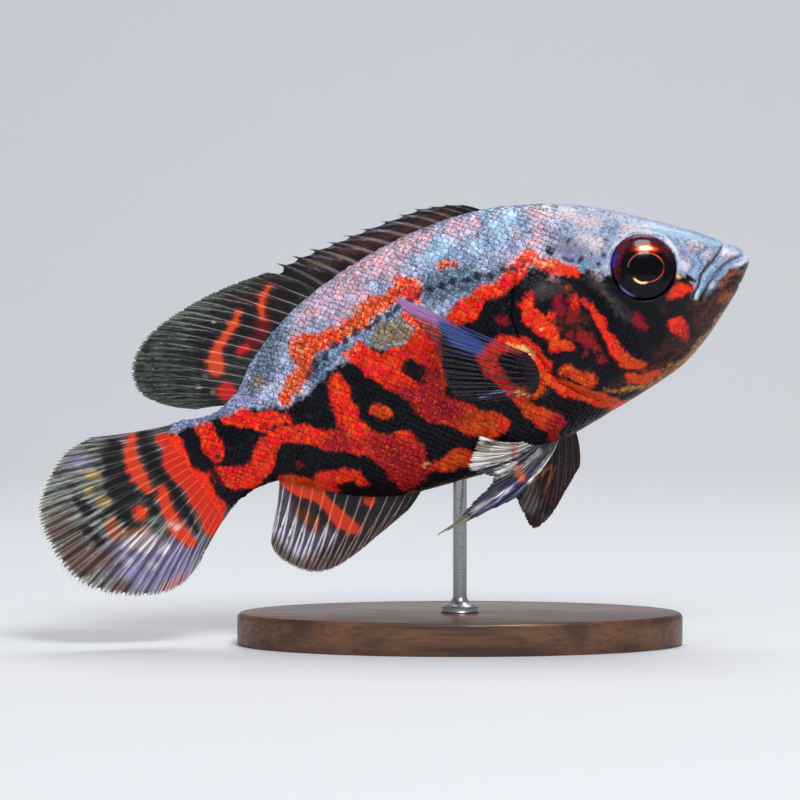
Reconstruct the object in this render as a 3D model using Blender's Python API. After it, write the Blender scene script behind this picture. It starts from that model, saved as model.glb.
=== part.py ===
"""A tiger oscar, about 16 cm long, as a still life-size model that swims nose up on a display stand.

The fish is drawn level first, in millimetres: s runs back from the tip of the snout, w up from the
line that joins the snout to the root of the tail fin, and y to the fish's left. The whole fish is
then bent a little sideways, pitched nose up over the stand and brought to metres.
"""

import math

import bmesh
import bpy
import numpy as np
from mathutils import Matrix, Vector

# Driving sizes, in millimetres and degrees
MM = 0.001
GAP = 0.3
PITCH = 20.0
SNOUT_X, SNOUT_Z = 61.5, 83.0
TAIL_SWING, TAIL_SWING_FROM, TAIL_SWING_TO = 9.0, 60.0, 162.0
HEAD_SWING, HEAD_SWING_FROM = 1.6, 48.0
SIDES = {"left": 1, "right": -1}
SMOOTH_UNDER = 40.0

# One row a rib of the body, from the lips to the root of the tail fin: where it meets the back and
# the belly, its half width, how peaked the back and the belly are (1 is an ellipse, less is blunter),
# and how far the widest point lies off the middle of the rib, down being negative.
#        back s, back w, belly s, belly w, half width, back peak, belly peak, widest
RIBS = np.array([
    (0.0, 0.3, 0.0, 0.3, 0.0, 0.85, 0.85, 0.0),
    (0.5, 1.8, 0.5, -1.2, 2.3, 0.85, 0.85, 0.0),
    (1.7, 3.3, 1.7, -2.9, 3.7, 0.85, 0.85, 0.0),
    (4.0, 5.6, 4.0, -5.3, 5.0, 0.82, 0.85, 0.0),
    (8.0, 9.0, 8.0, -8.6, 6.5, 0.80, 0.85, 0.0),
    (14.0, 13.3, 14.0, -13.1, 8.1, 0.78, 0.90, -0.02),
    (21.0, 18.0, 21.0, -16.8, 9.4, 0.80, 0.95, -0.04),
    (30.0, 23.2, 30.0, -19.2, 10.5, 0.90, 0.95, -0.06),
    (40.0, 27.1, 40.0, -21.2, 11.1, 1.00, 0.92, -0.08),
    (52.0, 29.7, 52.0, -23.3, 11.3, 1.10, 0.90, -0.06),
    (64.0, 30.0, 64.0, -24.2, 11.0, 1.15, 0.95, -0.02),
    (76.0, 28.6, 76.0, -23.6, 10.0, 1.15, 1.00, 0.0),
    (88.0, 25.7, 88.0, -22.1, 8.5, 1.15, 1.10, 0.0),
    (98.0, 21.7, 98.0, -18.2, 6.8, 1.10, 1.10, 0.0),
    (106.5, 16.4, 105.5, -13.3, 5.0, 1.05, 1.05, 0.0),
    (112.5, 10.8, 110.5, -10.3, 3.8, 1.00, 1.00, 0.0),
    (118.5, 8.3, 115.5, -10.1, 2.8, 1.00, 1.00, 0.0),
    (125.0, 9.0, 119.8, -11.3, 1.7, 1.00, 1.00, 0.0),
])
AROUND = 46
SNOUT_STEPS = [0.25, 0.8, 1.6, 2.7, 4.0]
HEAD_STEP, TRUNK_STEP, STALK_STEP = 1.7, 5.0, 2.5
HEAD_END, STALK_START = 54.0, 100.0

# Lines on the side of the head, as (s, w)
MOUTH_LINE = [(-2.0, 1.3), (0.9, 1.25), (3.0, 1.2), (4.8, 0.8), (7.4, -0.3), (9.4, -1.9),
              (11.3, -3.5), (12.8, -4.6), (14.3, -5.3)]
LIP_CREASE = [(2.2, 7.5), (3.9, 4.5), (5.5, 3.6), (7.9, 2.2), (10.4, 0.3), (12.5, -1.7),
              (14.0, -3.5), (15.0, -5.8), (14.4, -6.6)]
JAW_REAR = [(13.2, -4.9), (15.0, -6.3), (16.6, -9.6), (18.4, -13.0), (20.6, -19.5)]
UPPER_LIP = [(0.2, 2.2), (2.6, 3.0), (5.2, 2.3), (7.7, 1.0), (9.9, -0.8), (11.9, -2.6), (13.4, -4.0)]
LOWER_LIP = [(0.2, -0.5), (2.6, -0.6), (5.0, -1.1), (7.4, -2.1), (9.6, -3.8), (11.6, -5.4), (13.2, -6.5)]
CHEEK_EDGE = [(37.4, 10.5), (36.4, 7.2), (35.5, 2.8), (34.9, -1.3), (34.4, -5.6), (34.0, -9.2),
              (32.6, -12.2), (30.0, -13.9), (27.0, -13.9), (23.6, -13.2)]
GILL_EDGE = [(43.0, 34.0), (43.6, 24.0), (44.0, 18.5), (46.1, 14.6), (49.2, 11.2), (51.3, 7.5),
             (51.8, 3.7), (51.0, -0.4), (49.2, -4.0), (47.9, -7.4), (46.7, -10.2), (44.6, -12.8),
             (41.6, -15.4), (39.0, -18.5), (37.6, -24.5)]
GILL_TOP = [(46.5, 14.2), (42.5, 14.8), (39.4, 13.2), (37.4, 10.5)]
GILL_FOOT = [(32.6, -12.2), (32.6, -14.4), (34.6, -16.6), (38.2, -17.4), (41.0, -16.6)]
GILL_RAISE, GILL_FADE = 0.9, 14.0
PLATE_DEPTH, PLATE_INNER, BEYOND = 0.8, 6.0, 24.0
STALK_CUT = [(108.0, 24.0), (103.5, -20.0)]

EYE_S, EYE_W, EYE_R = 20.9, 5.8, 7.05
EYE_TOE, EYE_LIFT, SOCKET_DEPTH = 8.0, 5.0, 3.9
# (radius, height over the seat) of the eye: the ball's foot and side, the iris, the clear dome
EYE_PROFILE = [(0, -3.6), (6.6, -3.6), (EYE_R, -3.0), (EYE_R, -0.9), (6.3, 0.15), (5.2, 0.6),
               (4.5, 0.62), (4.1, 1.0), (2.8, 1.45), (1.4, 1.7), (0, 1.75)]
EYE_SIDES = 24
NOSTRIL_S, NOSTRIL_W, NOSTRIL_R, NOSTRIL_DEPTH = 9.8, 6.4, 0.5, 0.9

# Fins: a membrane that thins from root to rim, with one ridge a ray on both faces
SHEET, THICK_SHEET, TAIL_SHEET, RIM_SHEET = 0.5, 0.8, 1.2, 0.42
RIDGE, STRONG_RIDGE = 0.5, 0.65
MEDIAN_ROOT_GAP, PAIRED_ROOT_GAP = GAP + 0.05, GAP + 0.4

# (root s, tip s, tip w) of the dorsal spines, folded back, and of the soft rays behind them
DORSAL_SPINES = [(48.8, 54.2, 32.2), (50.7, 57.5, 33.4), (53.0, 60.8, 34.2), (55.8, 64.0, 34.8),
                 (59.0, 67.4, 34.7), (62.5, 71.4, 34.6), (66.5, 76.0, 34.5), (70.5, 79.8, 34.4),
                 (74.6, 83.6, 34.3), (78.8, 87.8, 34.3), (83.0, 91.8, 34.2), (87.0, 95.4, 33.9)]
DORSAL_SOFT = [(88.4, 97.7, 32.6), (92.4, 105.3, 32.7), (96.4, 112.3, 32.2), (100.2, 118.9, 31.0),
               (103.6, 124.3, 29.5), (106.6, 128.4, 27.3), (109.0, 131.2, 24.5), (111.0, 132.5, 21.0),
               (112.6, 131.6, 16.8), (113.9, 127.2, 12.8), (115.0, 122.2, 10.2)]
ANAL_RAYS = [(81.8, 87.0, -26.0), (84.0, 91.2, -27.6), (86.2, 95.7, -29.2), (88.8, 100.1, -30.8),
             (92.2, 104.7, -32.0), (95.6, 108.0, -32.2), (98.8, 110.8, -31.5), (101.6, 113.0, -30.1),
             (104.2, 114.8, -28.3), (106.6, 116.4, -26.0), (108.8, 117.0, -22.9), (110.2, 115.2, -19.3)]
CAUDAL_TIPS = [(145.6, 12.5), (151.0, 11.4), (154.8, 9.1), (158.6, 5.4), (161.0, 1.9), (161.8, -1.8),
               (161.6, -5.6), (160.8, -10.2), (158.7, -15.4), (154.8, -19.4), (149.8, -22.3),
               (145.2, -24.1), (141.4, -24.8), (137.6, -24.3), (133.9, -22.2), (130.4, -18.7)]
# (root s, root w, tip s, tip w, how far the tip stands out from the middle plane)
PECTORAL_RAYS = [(50.9, -3.0, 74.1, 19.0, 17.5), (50.5, -4.2, 73.7, 16.0, 17.8),
                 (50.2, -5.4, 71.6, 11.4, 18.0), (50.1, -6.6, 70.0, 6.3, 18.2),
                 (50.2, -7.8, 69.8, 1.8, 18.0), (50.6, -9.0, 70.1, -2.2, 17.5),
                 (51.4, -10.0, 69.3, -5.7, 16.5), (52.4, -10.8, 64.5, -8.8, 15.0)]
# The same for the pelvic fins. The right one is swept back, its inner rays laid against the belly,
# and the left one hangs down.
PELVIC_RIGHT = [(50.6, -22.4, 64.8, -30.9, 8.5), (51.4, -22.4, 82.4, -32.4, 9.5),
                (52.4, -22.4, 78.7, -31.2, 8.8), (53.4, -22.3, 74.0, -28.8, 8.0),
                (54.6, -22.2, 67.6, -25.4, 7.4), (55.8, -21.9, 71.6, -21.6, 7.6),
                (57.0, -21.4, 69.4, -18.2, 9.3), (58.2, -20.4, 67.0, -15.4, 10.4)]
PELVIC_LEFT = [(46.8, -21.4, 48.6, -30.3, 8.0), (48.6, -21.7, 53.3, -34.4, 9.8),
               (50.4, -22.0, 58.2, -38.5, 11.0), (52.2, -22.2, 62.6, -39.9, 11.2),
               (54.0, -22.3, 63.6, -35.8, 9.5), (55.6, -22.1, 64.0, -31.2, 7.5)]

# The display stand
BASE_LENGTH, BASE_WIDTH, BASE_HEIGHT, BASE_EDGE, BASE_SIDES = 96.0, 50.0, 7.0, 1.2, 48
ROD_R, ROD_NECK_R, COLLAR_R, COLLAR_HEIGHT, ROD_TOP, ROD_SIDES = 1.5, 2.1, 4.0, 2.4, 42.0, 20


def spline(rows, t, first=None):
    """Rows of numbers read at the places t by a Catmull-Rom curve. first is the row before the start."""
    rows = np.asarray(rows, float)
    before = 2 * rows[0] - rows[1] if first is None else np.asarray(first, float)
    padded = np.vstack([before, rows, 2 * rows[-1] - rows[-2]])
    t = np.clip(np.asarray(t, float), 0, len(rows) - 1)
    i = np.minimum(t.astype(int), len(rows) - 2)
    f = (t - i)[..., None]
    a, b, c, d = padded[i], padded[i + 1], padded[i + 2], padded[i + 3]
    return 0.5 * (2 * b + (c - a) * f + (2 * a - 5 * b + 4 * c - d) * f**2 + (3 * b - a - 3 * c + d) * f**3)


def smooth_line(points, per_span=4):
    """A hand-drawn line rounded into a curve with more points."""
    spans = (len(points) - 1) * per_span
    return spline(points, np.linspace(0, len(points) - 1, spans + 1))


def distance(line, s, w):
    """How far the points (s, w) lie from a line of points, and on which side: above or ahead is positive."""
    line = np.asarray(line)
    best = np.full(np.shape(s), 1e9)
    side = np.zeros(np.shape(s))
    for (s0, w0), (s1, w1) in zip(line[:-1], line[1:]):
        ds, dw = s1 - s0, w1 - w0
        f = np.clip(((s - s0) * ds + (w - w0) * dw) / (ds * ds + dw * dw), 0, 1)
        gone = np.hypot(s - s0 - f * ds, w - w0 - f * dw)
        turn = np.sign(ds * (w - w0) - dw * (s - s0))
        side = np.where(gone < best - 1e-9, turn, side)
        best = np.minimum(best, gone)
    return best, side


def bump(x, width):
    return np.exp(-(x / width) ** 2)


def ramp(x, low, high):
    f = np.clip((x - low) / (high - low), 0, 1)
    return f * f * (3 - 2 * f)


def ribs(t):
    """The rib row at the places t. Before the lips the rows mirror, so that the snout ends round."""
    mirrored = RIBS[1].copy()
    mirrored[[1, 3]] = 2 * RIBS[0][1] - mirrored[[1, 3]]
    mirrored[4] = -mirrored[4]
    return spline(RIBS, t, mirrored)


def bare_skin(t, angle):
    """Points (s, w, y) of the body without relief. The angle runs from the back over the left side."""
    row = ribs(t)
    height = np.cos(angle) + row[..., 7] * np.sin(angle) ** 2
    share = (1 + height) / 2
    peak = row[..., 6] + (row[..., 5] - row[..., 6]) * (1 + np.cos(angle)) / 2
    reach = np.abs(np.sin(angle)) ** peak
    s = row[..., 2] + (row[..., 0] - row[..., 2]) * share
    w = row[..., 3] + (row[..., 1] - row[..., 3]) * share
    y = row[..., 4] * reach * np.sign(np.sin(angle))
    return np.stack([s, w, y], -1)


def skin_normal(t, angle):
    small = 1e-3
    along = bare_skin(t + small, angle) - bare_skin(t - small, angle)
    around = bare_skin(t, angle + small) - bare_skin(t, angle - small)
    out = np.cross(along, around)
    out /= np.maximum(np.linalg.norm(out, axis=-1, keepdims=True), 1e-12)
    side = bare_skin(t, angle)
    middle = ribs(t)
    centre = np.stack([
        (middle[..., 0] + middle[..., 2]) / 2,
        (middle[..., 1] + middle[..., 3]) / 2,
        np.zeros_like(side[..., 0]),
    ], -1)
    inward = np.sum(out * (side - centre), -1, keepdims=True) < 0
    return np.where(inward, -out, out)


def relief(s, w):
    """How far the skin stands out from the bare body, by its place on the side of the head."""
    to_gill, gill_side = distance(smooth_line(GILL_EDGE), s, w)
    ahead = to_gill * -gill_side
    cover = ramp(ahead, -0.2, 0.3) * (1 - ramp(ahead, 2.0, GILL_FADE))
    cover *= ramp(w, -21.0, -15.0) * (1 - ramp(w, 11.0, 16.0))
    cheek, _ = distance(smooth_line(CHEEK_EDGE), s, w)
    crease, _ = distance(smooth_line(LIP_CREASE), s, w)
    upper, _ = distance(smooth_line(UPPER_LIP), s, w)
    lower, _ = distance(smooth_line(LOWER_LIP), s, w)
    ring = np.hypot(s - EYE_S, w - EYE_W) - (EYE_R + 0.9)
    return (GILL_RAISE * cover - 0.5 * bump(cheek, 0.9) - 0.3 * bump(crease, 0.5)
            + 0.5 * bump(upper, 1.2) + 0.4 * bump(lower, 1.2) + 0.4 * bump(ring, 0.9))


def skin(t, angle, grow=0.0, dressed=True):
    """Points of the body, with relief, grown outwards along its normals."""
    bare = bare_skin(t, angle)
    out = np.full(np.shape(angle), float(grow))
    if dressed:
        out = out + relief(bare[..., 0], bare[..., 1]) * np.abs(np.sin(angle))
    return bare + skin_normal(t, angle) * out[..., None]


def place_at(s):
    """The place along the ribs of the one that meets the back at s."""
    places = np.linspace(0, len(RIBS) - 1, 600)
    return float(np.interp(s, ribs(places)[:, 0], places))


def angle_at(s, w, side):
    """The angle of the skin point at (s, w), on the side +1 for left and -1 for right."""
    angles = np.linspace(0, math.pi, 400)
    heights = bare_skin(np.full(400, place_at(s)), angles)[:, 1]
    return side * float(np.interp(-w, -heights, angles))


def on_skin(s, w, side, lift=0.0):
    """The skin point at (s, w) with its outward normal, both as (s, w, y)."""
    t, angle = np.array(place_at(s)), np.array(angle_at(s, w, side))
    normal = skin_normal(t, angle)
    return skin(t, angle) + normal * lift, normal


def edge_w(s, edge):
    """The height of the back (edge 0) or the belly (edge 2) in the middle plane at s."""
    rows = ribs(np.linspace(0, len(RIBS) - 1, 600))
    return float(np.interp(s, rows[:, edge], rows[:, edge + 1]))


# Meshes are built level in millimetres, from points (s, w, y), and posed at the end.
def face_out(body):
    """Turns every face of a closed bmesh outwards."""
    bmesh.ops.recalc_face_normals(body, faces=body.faces)
    if body.calc_volume(signed=True) < 0:
        bmesh.ops.reverse_faces(body, faces=body.faces)


def mesh_object(name, points, faces):
    """An object from points (s, w, y) in millimetres and faces, with its normals pointing out."""
    mesh = bpy.data.meshes.new(name)
    mesh.from_pydata([(-s, y, w) for s, w, y in points], [], [list(f) for f in faces])
    body = bmesh.new()
    body.from_mesh(mesh)
    face_out(body)
    body.to_mesh(mesh)
    body.free()
    obj = bpy.data.objects.new(name, mesh)
    bpy.context.scene.collection.objects.link(obj)
    return obj


def body_solid(name, grow=0.0, dressed=True):
    """The whole body as one closed solid, from the lips to the root of the tail fin."""
    rings = np.concatenate([
        SNOUT_STEPS,
        np.arange(SNOUT_STEPS[-1] + HEAD_STEP, HEAD_END, HEAD_STEP),
        np.arange(HEAD_END, STALK_START, TRUNK_STEP),
        np.arange(STALK_START, RIBS[-1][0] - 1.0, STALK_STEP),
    ])
    places = np.array([place_at(s) for s in rings] + [len(RIBS) - 1.0])
    angles = np.linspace(0, 2 * math.pi, AROUND, endpoint=False) + 1e-6
    grid = skin(*np.meshgrid(places, angles, indexing="ij"), grow=grow, dressed=dressed)
    points = [tuple(p) for p in grid.reshape(-1, 3)]
    faces = []
    for i in range(len(places) - 1):
        for j in range(AROUND):
            k = (j + 1) % AROUND
            faces.append((i * AROUND + j, i * AROUND + k, (i + 1) * AROUND + k, (i + 1) * AROUND + j))
    tip, tail = len(points), len(points) + 1
    points.append((-grow, RIBS[0][1], 0.0))
    points.append(((RIBS[-1][0] + RIBS[-1][2]) / 2 + grow, (RIBS[-1][1] + RIBS[-1][3]) / 2, 0.0))
    last = (len(places) - 1) * AROUND
    for j in range(AROUND):
        k = (j + 1) % AROUND
        faces.append((tip, k, j))
        faces.append((tail, last + j, last + k))
    return mesh_object(name, points, faces)


def prism(name, outline, low, high):
    """A closed side outline of (s, w) carried across from y low to y high."""
    count = len(outline)
    points = [(s, w, y) for y in (low, high) for s, w in outline]
    faces = [tuple(range(count)), tuple(range(2 * count - 1, count - 1, -1))]
    for i in range(count):
        k = (i + 1) % count
        faces.append((i, k, count + k, count + i))
    return mesh_object(name, points, faces)


def slab(name, line, thick=GAP, reach=30.0):
    """A thin cut that follows a side line, right across the fish."""
    line = smooth_line(line)
    tangent = np.gradient(line, axis=0)
    across = np.stack([-tangent[:, 1], tangent[:, 0]], -1)
    across /= np.linalg.norm(across, axis=1, keepdims=True)
    outline = list(line + across * thick / 2) + list((line - across * thick / 2)[::-1])
    return prism(name, outline, -reach, reach)


def combine(obj, other, operation):
    """Applies one Boolean and removes the other object."""
    cut = obj.modifiers.new("combine", "BOOLEAN")
    cut.operation = operation
    cut.object = other
    bpy.context.view_layer.update()
    graph = bpy.context.evaluated_depsgraph_get()
    mesh = bpy.data.meshes.new_from_object(obj.evaluated_get(graph))
    obj.modifiers.clear()
    obj.data = mesh
    bpy.data.objects.remove(other)
    return obj


def copy_of(obj, name):
    twin = bpy.data.objects.new(name, obj.data.copy())
    bpy.context.scene.collection.objects.link(twin)
    return twin


def islands(obj):
    """The closed pieces of an object as sets of its face indices, the largest first."""
    body = bmesh.new()
    body.from_mesh(obj.data)
    seen, pieces = set(), []
    for face in body.faces:
        if face.index in seen:
            continue
        piece, queue = set(), [face]
        seen.add(face.index)
        while queue:
            here = queue.pop()
            piece.add(here.index)
            for near in (f for edge in here.edges for f in edge.link_faces if f.index not in seen):
                seen.add(near.index)
                queue.append(near)
        pieces.append(piece)
    body.free()
    return sorted(pieces, key=len, reverse=True)


def with_faces(obj, kept, name):
    """A new object with only those faces of obj."""
    body = bmesh.new()
    body.from_mesh(obj.data)
    bmesh.ops.delete(body, geom=[f for f in body.faces if f.index not in kept], context="FACES")
    face_out(body)
    mesh = bpy.data.meshes.new(name)
    body.to_mesh(mesh)
    body.free()
    piece = bpy.data.objects.new(name, mesh)
    bpy.context.scene.collection.objects.link(piece)
    return piece


def keep_largest(obj):
    """Drops loose scraps: a node is one closed surface."""
    largest = with_faces(obj, islands(obj)[0], "largest")
    obj.data = largest.data
    bpy.data.objects.remove(largest)


def middle_of(obj):
    """The middle of a level object's points, as (s, w)."""
    middle = sum((v.co for v in obj.data.vertices), Vector()) / len(obj.data.vertices)
    return -middle.x, middle.z


def split_by_cuts(whole, cuts, markers):
    """Cuts the whole. Each marker point (s, w) names the large piece whose middle lies nearest."""
    for cut in cuts:
        combine(whole, cut, "DIFFERENCE")
    pieces = [with_faces(whole, kept, "piece") for kept in islands(whole)[:len(markers)]]
    bpy.data.objects.remove(whole)
    named = {}
    for name, marker in markers.items():
        named[name] = min(pieces, key=lambda piece: math.dist(middle_of(piece), marker))
        named[name].name = name
        pieces.remove(named[name])
    return named


def turned(name, profile, centre, axis, sides=24):
    """A solid turned about an axis through centre. The profile is (radius, height) from foot to head."""
    axis = np.asarray(axis, float) / np.linalg.norm(axis)
    first = np.cross(axis, (0.0, 0.0, 1.0) if abs(axis[2]) < 0.6 else (0.0, 1.0, 0.0))
    first /= np.linalg.norm(first)
    second = np.cross(axis, first)
    points, faces = [], []
    rings = [(r, h) for r, h in profile if r > 0]
    for r, h in rings:
        for k in range(sides):
            a = 2 * math.pi * k / sides
            points.append(tuple(centre + axis * h + (first * math.cos(a) + second * math.sin(a)) * r))
    for i in range(len(rings) - 1):
        for k in range(sides):
            n = (k + 1) % sides
            faces.append((i * sides + k, i * sides + n, (i + 1) * sides + n, (i + 1) * sides + k))
    points.append(tuple(centre + axis * profile[0][1]))
    points.append(tuple(centre + axis * profile[-1][1]))
    foot, head, last = len(points) - 2, len(points) - 1, (len(rings) - 1) * sides
    for k in range(sides):
        n = (k + 1) % sides
        faces.append((foot, n, k))
        faces.append((head, last + k, last + n))
    return mesh_object(name, points, faces)


def eye_seat(side):
    """The middle of the eye on the skin, and the way it looks out."""
    seat, _ = on_skin(EYE_S, EYE_W, side)
    toe, lift = math.radians(EYE_TOE), math.radians(EYE_LIFT)
    look = np.array([-math.sin(toe), math.sin(lift), side * math.cos(toe)])
    return seat, look


def fin(name, rays, count, rows, sheet, ridge, notch=0.0, wave=0.0, steps=2):
    """A fin as a closed sheet. Each key ray is (root, knee, tip), three points (s, w, y).

    The rays between the key rays follow a smooth curve. Each of count rays is a ridge on both faces,
    with steps columns from one to the next, and the membrane between two tips is notched by that share
    of the ray's length. wave is how far the rim sways to either side.
    """
    keys = np.array(rays, float)
    columns = np.linspace(0, len(keys) - 1, (count - 1) * steps + 1)
    shape = {2: (1.0, 0.0), 4: (1.0, 0.35, 0.0, 0.35)}[steps]
    crest = np.array([shape[k % steps] for k in range(len(columns))])
    along = np.linspace(0, 1, rows + 1) ** 0.9
    key = spline(keys.reshape(len(keys), 9), columns).reshape(-1, 3, 3)
    shorter = 1 - notch * (1 - crest)
    f = along[None, :] * np.where(along[None, :] > 0, shorter[:, None], 1)
    f = f[..., None]
    centre = (1 - f) ** 2 * key[:, None, 0] + 2 * f * (1 - f) * key[:, None, 1] + f**2 * key[:, None, 2]
    ripple = np.sin(columns / (len(keys) - 1) * 3 * math.pi)[:, None] * along[None, :] ** 2
    centre[..., 2] += wave * ripple
    forward = np.gradient(centre, axis=1)
    sideways = np.gradient(centre, axis=0)
    normal = np.cross(forward, sideways)
    normal /= np.maximum(np.linalg.norm(normal, axis=-1, keepdims=True), 1e-9)
    fade = 1 - 0.75 * along**1.5
    half = (sheet + (RIM_SHEET - sheet) * along)[None, :] / 2 + ridge / 2 * crest[:, None] * fade[None, :]
    faces_of = [centre + normal * half[..., None], centre - normal * half[..., None]]
    points = [tuple(p) for face in faces_of for p in face.reshape(-1, 3)]
    wide, tall = len(columns), rows + 1
    other = wide * tall
    faces = []
    for i in range(wide - 1):
        for j in range(tall - 1):
            a, b, c, d = i * tall + j, (i + 1) * tall + j, (i + 1) * tall + j + 1, i * tall + j + 1
            near, far = [(a, b, c), (a, c, d)], [(a, c, b), (a, d, c)]
            faces += near + [tuple(v + other for v in face) for face in far]
    edge = [i * tall for i in range(wide)] + [(wide - 1) * tall + j for j in range(1, tall)]
    edge += [i * tall + tall - 1 for i in range(wide - 2, -1, -1)] + [j for j in range(tall - 2, 0, -1)]
    for p, q in zip(edge, edge[1:] + edge[:1]):
        faces += [(p, q, q + other), (p, q + other, p + other)]
    return mesh_object(name, points, faces)


def median_rays(rows, edge, bow):
    """Key rays in the middle plane, from (root s, tip s, tip w), rooted on the back (edge 0) or the
    belly (edge 2). bow is how far each ray's knee stands off its chord, as a share of it."""
    rays = []
    lift = MEDIAN_ROOT_GAP if edge == 0 else -MEDIAN_ROOT_GAP
    for root_s, tip_s, tip_w in rows:
        start = np.array([root_s, edge_w(root_s, edge) + lift, 0.0])
        end = np.array([tip_s, tip_w, 0.0])
        run = end - start
        knee = (start + end) / 2 + np.array([run[1], -run[0], 0.0]) * bow
        rays.append((start, knee, end))
    return rays


def caudal_rays():
    """Rays that fan out from the upright root line behind the last rib."""
    top, foot = RIBS[-1][:2], RIBS[-1][2:4]
    down = (foot - top) / np.linalg.norm(foot - top)
    back = np.array([-down[1], down[0]])
    start, end = top + down * 0.6 + back * GAP, foot - down * 0.6 + back * GAP
    rays = []
    for k, tip in enumerate(CAUDAL_TIPS):
        share = k / (len(CAUDAL_TIPS) - 1)
        root = start + (end - start) * share
        knee = root + back * np.dot(np.array(tip) - root, back) * 0.45
        knee = knee * 0.35 + (root + np.array(tip)) / 2 * 0.65
        rays.append([(*root, 0.0), (*knee, 0.0), (*tip, 0.0)])
    return rays


def paired_rays(rows, side, stand, lean):
    """Rays that leave the flank squarely, as far as stand, then lie back along it, and less so with lean."""
    rays = []
    for root_s, root_w, tip_s, tip_w, out in rows:
        root, normal = on_skin(root_s, root_w, side, PAIRED_ROOT_GAP)
        tip = np.array([tip_s, tip_w, side * out])
        knee = root + normal * stand + (tip - root) * lean
        rays.append((root, knee, tip))
    return rays


def material(name, colour, roughness, metallic=0.0):
    made = bpy.data.materials.new(name)
    made.use_nodes = True
    shader = made.node_tree.nodes["Principled BSDF"]
    shader.inputs["Base Color"].default_value = (*colour, 1.0)
    shader.inputs["Roughness"].default_value = roughness
    shader.inputs["Metallic"].default_value = metallic
    return made


def swing(s):
    """Sideways drift of the middle plane at s and its slope: the tail and a little of the head turn right."""
    back = np.clip((s - TAIL_SWING_FROM) / (TAIL_SWING_TO - TAIL_SWING_FROM), 0, None)
    fore = np.clip((HEAD_SWING_FROM - s) / HEAD_SWING_FROM, 0, None)
    drift = -TAIL_SWING * back**2 - HEAD_SWING * fore**2
    slope = (-2 * TAIL_SWING * back / (TAIL_SWING_TO - TAIL_SWING_FROM)
             + 2 * HEAD_SWING * fore / HEAD_SWING_FROM)
    return drift, slope


def pose(obj):
    """Bends a level piece sideways, pitches it nose up and brings it to its place over the stand."""
    mesh = obj.data
    points = np.empty(len(mesh.vertices) * 3)
    mesh.vertices.foreach_get("co", points)
    points = points.reshape(-1, 3)
    s, y, w = -points[:, 0], points[:, 1], points[:, 2]
    drift, slope = swing(s)
    stretch = np.sqrt(1 + slope**2)
    s, y = s - y * slope / stretch, drift + y / stretch
    cos, sin = math.cos(math.radians(PITCH)), math.sin(math.radians(PITCH))
    placed = np.stack([SNOUT_X - s * cos - w * sin, y, SNOUT_Z - s * sin + w * cos], -1)
    mesh.vertices.foreach_set("co", placed.ravel())
    mesh.update()


def finish_piece(obj, paint):
    """Brings a piece from millimetres to metres, paints it and shades it smooth."""
    obj.data.transform(Matrix.Scale(MM, 4))
    obj.data.materials.clear()
    obj.data.materials.append(paint)
    obj.data.shade_smooth()
    obj.data.set_sharp_from_angle(angle=math.radians(SMOOTH_UNDER))


def cover_outline():
    """The side outline of a gill cover: down the cheek, along its foot, up behind its edge, over its top."""
    front = smooth_line(CHEEK_EDGE[:7])
    foot = smooth_line(GILL_FOOT)
    rear = smooth_line(GILL_EDGE)
    rear = rear[(rear[:, 1] < 13.0) & (rear[:, 1] > -15.5)][::-1] + np.array([1.5, 0.0])
    return np.vstack([front, foot[1:-1], rear, smooth_line(GILL_TOP)[1:-1]])


def widened(outline, by):
    """A closed side outline moved outwards all round."""
    ahead, behind = np.roll(outline, -1, axis=0), np.roll(outline, 1, axis=0)
    area = np.sum(outline[:, 0] * ahead[:, 1] - ahead[:, 0] * outline[:, 1])
    along = (ahead - outline) / np.linalg.norm(ahead - outline, axis=1, keepdims=True)
    before = (outline - behind) / np.linalg.norm(outline - behind, axis=1, keepdims=True)
    normal = (along + before)[:, ::-1] * np.array([1.0, -1.0]) * np.sign(area)
    length = np.linalg.norm(normal, axis=1, keepdims=True)
    return outline + normal / length**2 * 2 * by


def cut_socket_and_nostril(whole, side):
    seat, look = eye_seat(side)
    wall = EYE_R + GAP
    socket = [(0, -SOCKET_DEPTH), (wall, -SOCKET_DEPTH), (wall, EYE_R), (0, EYE_R)]
    combine(whole, turned("socket", socket, seat, look), "DIFFERENCE")
    pit, normal = on_skin(NOSTRIL_S, NOSTRIL_W, side)
    bore = [(0, -NOSTRIL_DEPTH), (NOSTRIL_R, -NOSTRIL_DEPTH), (NOSTRIL_R * 1.3, 1.5), (0, 1.5)]
    combine(whole, turned("nostril", bore, pit, normal, 8), "DIFFERENCE")


def part_gill_cover(head, side, word):
    """Cuts one gill cover out of the side of the head as a plate of its own."""
    outline = cover_outline()
    inner_core = body_solid("inner_core", -PLATE_DEPTH - GAP, False)
    reach = sorted(((PLATE_INNER - GAP) * side, BEYOND * side))
    pocket = combine(prism("pocket", widened(outline, GAP), *reach), inner_core, "DIFFERENCE")
    reach = sorted((PLATE_INNER * side, BEYOND * side))
    plate = combine(copy_of(head, f"gill_cover_{word}"), prism("plate", outline, *reach), "INTERSECT")
    combine(plate, body_solid("core", -PLATE_DEPTH, False), "DIFFERENCE")
    keep_largest(plate)
    combine(head, pocket, "DIFFERENCE")
    return plate


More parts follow.
